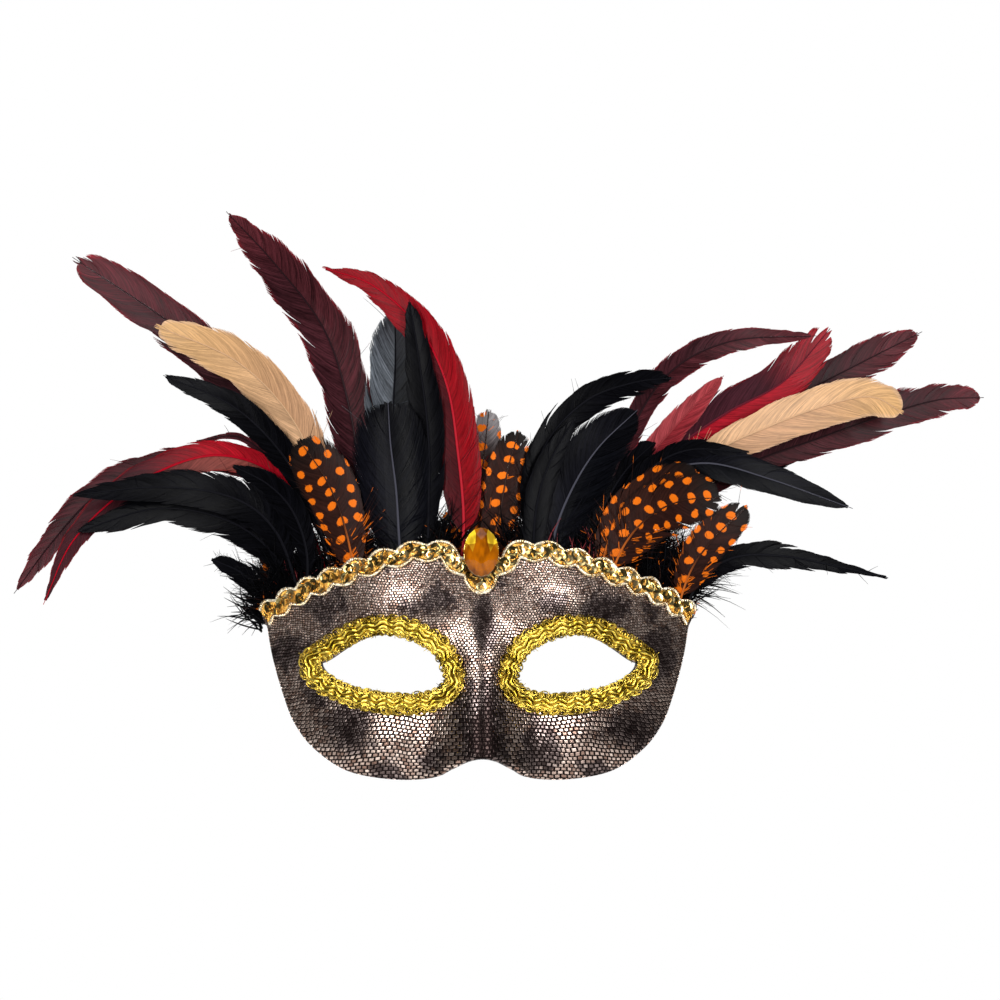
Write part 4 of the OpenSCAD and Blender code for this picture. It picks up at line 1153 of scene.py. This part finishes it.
def add_quill(batch, feather, look):
    """The tapered quill, in front of the vanes."""
    n, sides = 64, 8
    t = np.linspace(0, 1, n)
    c, _, s = feather.frame_at(t)
    radius = (look["quill"] * (1 - t) ** 0.8 + 0.12)[:, None]
    angle = np.arange(sides) * 2 * np.pi / sides
    across = c[:, None] + s[:, None] * (radius * np.cos(angle)[None])[..., None]
    rings = feather.lay(across, t[:, None], -0.16 - radius * (0.25 + 0.75 * np.sin(angle)[None]))
    t = np.repeat(t, sides)
    none = np.zeros(n * sides)
    batch.add(rings, barb=np.stack([none, t, none + 0.5], -1), side=none, core=none + 1,
              place=np.stack([t * feather.length, none, none], -1))


def add_vane(batch, feather, look, rng, side):
    """The barbs on one side of the shaft: side is -1 or 1."""
    length = feather.length
    count = int(length * (VANE_END - VANE_START) / BARB_SPACING)
    f = 1 - (1 - (np.arange(count) + 0.5) / count) ** 1.15
    t0 = VANE_START + f * (LAST_BARB - VANE_START)
    angle = np.radians(np.interp(f, [0, 0.3, 1], look["lean"]))
    # a barb ends where the outline is as far off as its angle takes it
    low, high = t0.copy(), np.full(count, 0.999)
    for _ in range(18):
        t1 = (low + high) / 2
        short = (t1 - t0) * length * np.tan(angle) < feather.half_width(t1)
        low, high = np.where(short, t1, low), np.where(short, high, t1)
    # barbs hold together in clumps, which part, end short and lift
    clump = clump_values(rng, count, 9)
    clumps = clump.max() + 1
    wide = rng.uniform(-1, 1, clumps)
    parted = rng.uniform(0, 1, clumps) < look["split"]
    shift = 0.18 * wide + parted * rng.uniform(0.8, 2.6, clumps)
    cut = 1 - look["ragged"] * rng.uniform(0, 1, clumps) ** 2
    lift = look["wavy"] * rng.uniform(-1, 1, clumps)
    tip_shift = np.convolve(shift[clump], np.ones(3) / 3, mode="same")
    waves = rng.uniform(0, 1, int(length / 9) + 2)
    wave = 1 - look["uneven"] * np.interp(f * (len(waves) - 1), np.arange(len(waves)), waves)
    reach = feather.half_width(t1) * cut[clump] * wave * rng.uniform(0.965, 1.0, count)
    t1 = np.clip(t1 + tip_shift / length, t0 + 0.5 / length, 1.0)
    reach = np.minimum(reach, feather.half_width(t1) + 0.1)
    c0, d0, s0 = feather.frame_at(t0)
    c1, _, s1 = feather.frame_at(t1)
    start = c0 + side * s0 * 0.2
    end = c1 + side * s1 * reach[:, None]
    span = np.linalg.norm(end - start, axis=1, keepdims=True)
    leave = 1.45 * angle[:, None]
    middle = start + span * 0.5 * (np.cos(leave) * d0 + side * np.sin(leave) * s0)
    path, over, u = bent_paths(start, middle, end, BARB_STATIONS)
    half = 0.5 * np.interp(u, *BARB_WIDTH) * np.ones((count, 1))
    thick = np.interp(u, *BARB_THICKNESS) * np.ones((count, 1))
    t_here = t0[:, None] + (t1 - t0)[:, None] * u
    rise = (0.011 * (u * reach[:, None]) ** 2 + lift[clump][:, None] * u
            + 0.006 * np.sin(np.arange(count) * 2.4)[:, None] * (0.3 + u))
    # each barb is tilted a little, so that it overlaps the next one
    rings = np.stack([feather.lay(path + over * (w * half)[..., None], t_here,
                                  rise + h * thick + side * w * 0.035) for w, h in BARB_SECTION], 2)
    chance = 0.6 * rng.uniform(0, 1, clumps)[clump] + 0.4 * rng.uniform(0, 1, count)
    add_barbs(batch, rings, u, t_here, chance, side, t0, length, reach)


def add_barbs(batch, rings, u, t_here, chance, side, t0, length, reach):
    """Adds rings shaped (barb, station, corner, xyz) as closed slivers with their material's values."""
    count, stations, corners = rings.shape[:3]
    m = stations * corners
    ones = np.ones((count, stations, corners))
    barb = np.stack([u[..., None] * ones, t_here[..., None] * ones, chance[:, None, None] * ones], -1)
    across = side * u[..., None] * reach[:, None, None]
    place = np.stack([t_here[..., None] * length * ones, across * ones,
                      t0[:, None, None] * length * ones], -1)
    offsets = batch.count + (np.arange(count) * m)[:, None, None]
    for block in sweep_faces(stations, corners):
        batch.faces.append((block[None] + offsets).reshape(-1, block.shape[1]))
    batch.verts.append(rings.reshape(-1, 3))
    for key, data in (("barb", barb.reshape(-1, 3)), ("side", np.full(count * m, (1 - side) / 2)),
                      ("core", np.zeros(count * m)), ("place", place.reshape(-1, 3))):
        batch.values.setdefault(key, []).append(data)
    batch.count += count * m


def add_loose_hairs(batch, feather, look, rng):
    """Fluff at the root, and stray hairs that stand out of the vanes."""
    for amount, low, high, reach in ((look["down"], VANE_START - 0.03, VANE_START + 0.16, (0.6, 1.3)),
                                     (look["stray"], VANE_START + 0.05, 0.93, (1.02, 1.28))):
        t0 = np.sort(rng.uniform(low, high, amount))
        side = rng.choice([-1.0, 1.0], amount)
        size = np.maximum(feather.half_width(np.minimum(t0 + 0.15, 0.9)), 3.0) * rng.uniform(*reach, amount)
        angle = np.radians(rng.uniform(30, 75, amount))
        c0, d0, s0 = feather.frame_at(t0)
        way = np.cos(angle)[:, None] * d0 + (side * np.sin(angle))[:, None] * s0
        bent = unit(way + rng.normal(0, 0.35, (amount, 2)) + d0 * 0.3)
        long = (size / np.sin(angle).clip(0.5))[:, None]
        middle = c0 + way * long * 0.55
        path, over, u = bent_paths(c0, middle, middle + bent * long * 0.6, HAIR_STATIONS)
        half = np.interp(u, [0, 1], [0.13, 0.04]) * np.ones((amount, 1))
        t_here = np.minimum(t0[:, None] + 0.1 * u, 1.0)
        rise = rng.uniform(-0.5, 0.5, amount)[:, None] * u
        rings = np.stack([feather.lay(path + over * (w * half)[..., None], t_here, rise + h * half)
                          for w, h in HAIR_SECTION], 2)
        chance = rng.uniform(0, 1, amount)
        add_barbs(batch, rings, u * np.ones((amount, 1)), t_here, chance, 1.0, t0, feather.length, size)


FEATHER_MATERIALS = {name: feather_material("feather_" + name, look) for name, look in LOOKS.items()}


def make_feather(name, shape, look_name, seed):
    """One feather's quill, both vanes and loose hairs, as one piece."""
    rng = np.random.default_rng(seed)
    feather, look, batch = Feather(*shape), LOOKS[look_name], Batch()
    add_quill(batch, feather, look)
    for side in (-1.0, 1.0):
        add_vane(batch, feather, look, rng, side)
    add_loose_hairs(batch, feather, look, rng)
    batch.piece("barbs_" + name, FEATHER_MATERIALS[look_name], look["slot"], ["feather_" + name],
                smooth=False)


for index, (name, *shape, look_name) in enumerate(FEATHERS):
    make_feather(name, shape, look_name, 100 + index)


def root_fluff(name, look, seed, tufts):
    """Soft hairs above the brow, between the quills: each tuft's x, spread, number and range of lengths."""
    rng = np.random.default_rng(seed)
    batch = Batch()
    for centre, spread, count, long_low, long_high in tufts:
        x = centre + rng.uniform(-spread, spread, count)
        z = np.interp(np.abs(x), EDGE[:, 0], EDGE[:, 1]) - rng.uniform(2, 7, count)
        start = np.stack([x, z], -1)
        way = np.radians(np.clip(x * 0.5 + rng.normal(0, 22, count), -78, 62))
        ahead = np.stack([np.sin(way), np.cos(way)], -1)
        long = rng.uniform(long_low, long_high, count)[:, None]
        bend = left_of(ahead) * rng.normal(0, 0.28, count)[:, None]
        end = start + long * unit(ahead + bend * 1.6)
        middle = start + long * 0.5 * unit(ahead - bend)
        path, over, u = bent_paths(start, middle, end, HAIR_STATIONS)
        half = rng.uniform(0.12, 0.42, count)[:, None] * np.interp(u, [0, 0.6, 1], [1, 0.8, 0.15])
        layer = rng.uniform(2, 11.5, count)[:, None]
        rise = rng.uniform(-0.3, 0.3, count)[:, None] * u
        rings = np.stack([fan_point(path + over * (w * half)[..., None], layer, rise + h * half)
                          for w, h in HAIR_SECTION], 2)
        chance = rng.uniform(0, 1, count)
        u = u * np.ones((count, 1))
        add_barbs(batch, rings, u, 0.2 + 0.4 * u, chance, 1.0, np.full(count, 0.1), 60.0, long[:, 0])
    batch.piece(name, FEATHER_MATERIALS[look], LOOKS[look]["slot"])


root_fluff("fluff_black", "black", 31, [
    (-72, 6, 260, 8, 22), (-62, 7, 420, 10, 30), (-44, 6, 260, 8, 28), (-34, 8, 160, 6, 18),
    (-15, 5, 260, 8, 26), (16, 5, 260, 8, 26), (28, 8, 200, 8, 24), (42, 5, 240, 8, 26),
    (58, 9, 620, 8, 32), (68, 6, 360, 8, 26)])
root_fluff("fluff_black_right", "black", 34, [(62, 9, 420, 14, 36), (-78, 3, 60, 8, 20)])
root_fluff("fluff_orange", "guinea_bright", 32, [
    (-46, 7, 110, 5, 14), (-34, 5, 60, 5, 12), (-73, 4, 60, 5, 14), (-10, 5, 130, 5, 15),
    (10, 6, 130, 5, 16), (46, 6, 110, 5, 16), (60, 8, 110, 6, 18), (73, 4, 70, 5, 14)])
root_fluff("fluff_wine", "pink", 33, [
    (-62, 4, 26, 10, 20), (41, 3, 60, 8, 18), (33, 5, 40, 8, 16), (-4, 3, 16, 6, 12)])

# ---------------------------------------------------------------- what holds the feathers

STRIP_LOW = 12.0   # the felt strip's edges, below the trim's middle line
STRIP_HIGH = 2.0
STRIP_END = 5.0    # how far it stops short of the trim's ends


def behind_brow(below, above, layer, thick, reach, n, waviness=0.0):
    """Rings of a strip behind the brow, from below to above under the trim's line, with a crowned back."""
    s = np.linspace(BROW_LENGTH / 2 - reach, BROW_LENGTH / 2 + reach, n)
    p, d = brow_point(s), brow_side(s)
    wobble = waviness * np.sin(s * 0.9) * np.sin(s * 0.37 + 1)

    def line(w, back):
        drop = below + (above - below) * w + wobble * (1 - w)
        return fan_point(p - d * drop[..., None], layer, back)

    behind = [line(w, thick * 0.9 + thick * 0.12 * math.sin(math.pi * w)) for w in np.linspace(0, 1, 7)]
    return np.stack(behind + [line(w, np.zeros(n)) for w in np.linspace(1, 0, 7)], 1)


def feather_backing():
    """The bead of glue over the quills, and the felt strip that covers it."""
    glue = Batch()
    glue.add(behind_brow(9, 6, BACKING_LAYER, 0.8, BROW_LENGTH / 2 - 7, 160, 0.5))
    glue.piece("glue_over_quills", GLUE_MATERIAL, "hot_glue", ["quill_glue_bead"])
    strip = Batch()
    strip.add(behind_brow(STRIP_LOW, STRIP_HIGH, BACKING_LAYER + 2.8, 0.8, BROW_LENGTH / 2 - STRIP_END, 220))
    return strip.piece("backing_felt", STRIP_MATERIAL, "strip_felt", ["feather_backing_strip"])


strip = feather_backing()

for lug in ("elastic_lug_left", "elastic_lug_right"):
    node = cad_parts[lug]
    node.data.materials.clear()
    node.data.materials.append(LUG_MATERIAL)

# ---------------------------------------------------------------- studio

FLOOR_Z = -0.155     # m
FLOOR_R = 0.45
AMBIENT = 0.10       # how strongly the white surroundings light the mask
LIGHT_AIM = Vector((0.0, 0.03, 0.03))
LIGHT_DISTANCE = 1.2
# name, azimuth from the front and positive to the right, elevation, width and height in m, and power in W
SOFTBOXES = [
    ("softbox_left", -37, 14, (0.24, 0.95), 12.0),
    ("softbox_right", 37, 14, (0.24, 0.95), 12.0),
    ("softbox_top", 0, 62, (1.0, 0.5), 3.5),
    ("softbox_back_left", -140, 35, (0.4, 0.7), 3.5),
    ("softbox_back_right", 140, 35, (0.4, 0.7), 3.5),
]


def studio_floor():
    """A pale round table under the mask."""
    mesh = bpy.data.meshes.new("studio_floor")
    bm = bmesh.new()
    bmesh.ops.create_cone(bm, cap_ends=True, segments=96, radius1=FLOOR_R, radius2=FLOOR_R, depth=0.01)
    bm.to_mesh(mesh)
    bm.free()
    g = Graph("studio_paper", base_color=(0.93, 0.93, 0.93), roughness=0.9)
    mesh.materials.append(g.material)
    floor = bpy.data.objects.new("studio_floor", mesh)
    floor.location = (0, 0.03, FLOOR_Z)
    bpy.context.scene.collection.objects.link(floor)


def softbox(name, azimuth, elevation, size, energy):
    """An area light that faces the mask."""
    light = bpy.data.lights.new(name, "AREA")
    light.shape = "RECTANGLE"
    light.size, light.size_y = size
    light.energy = energy
    box = bpy.data.objects.new(name, light)
    a, e = math.radians(azimuth), math.radians(elevation)
    way = Vector((math.sin(a) * math.cos(e), -math.cos(a) * math.cos(e), math.sin(e)))
    box.location = LIGHT_AIM + LIGHT_DISTANCE * way
    box.rotation_euler = (LIGHT_AIM - box.location).to_track_quat("-Z", "Y").to_euler()
    bpy.context.scene.collection.objects.link(box)


def studio_world():
    """The surroundings: white where the camera sees them, and weaker as a light."""
    sky = bpy.data.worlds.new("studio")
    sky.use_nodes = True
    tree = sky.node_tree
    background = tree.nodes["Background"]
    background.inputs["Color"].default_value = (1.0, 1.0, 1.0, 1.0)
    path = tree.nodes.new("ShaderNodeLightPath")
    strength = tree.nodes.new("ShaderNodeMapRange")
    strength.inputs["To Min"].default_value = AMBIENT
    strength.inputs["To Max"].default_value = 1.0
    tree.links.new(path.outputs["Is Camera Ray"], strength.inputs["Value"])
    tree.links.new(strength.outputs[0], background.inputs["Strength"])
    bpy.context.scene.world = sky


studio_floor()
studio_world()
for box in SOFTBOXES:
    softbox(*box)
bpy.context.scene.view_settings.view_transform = "Standard"
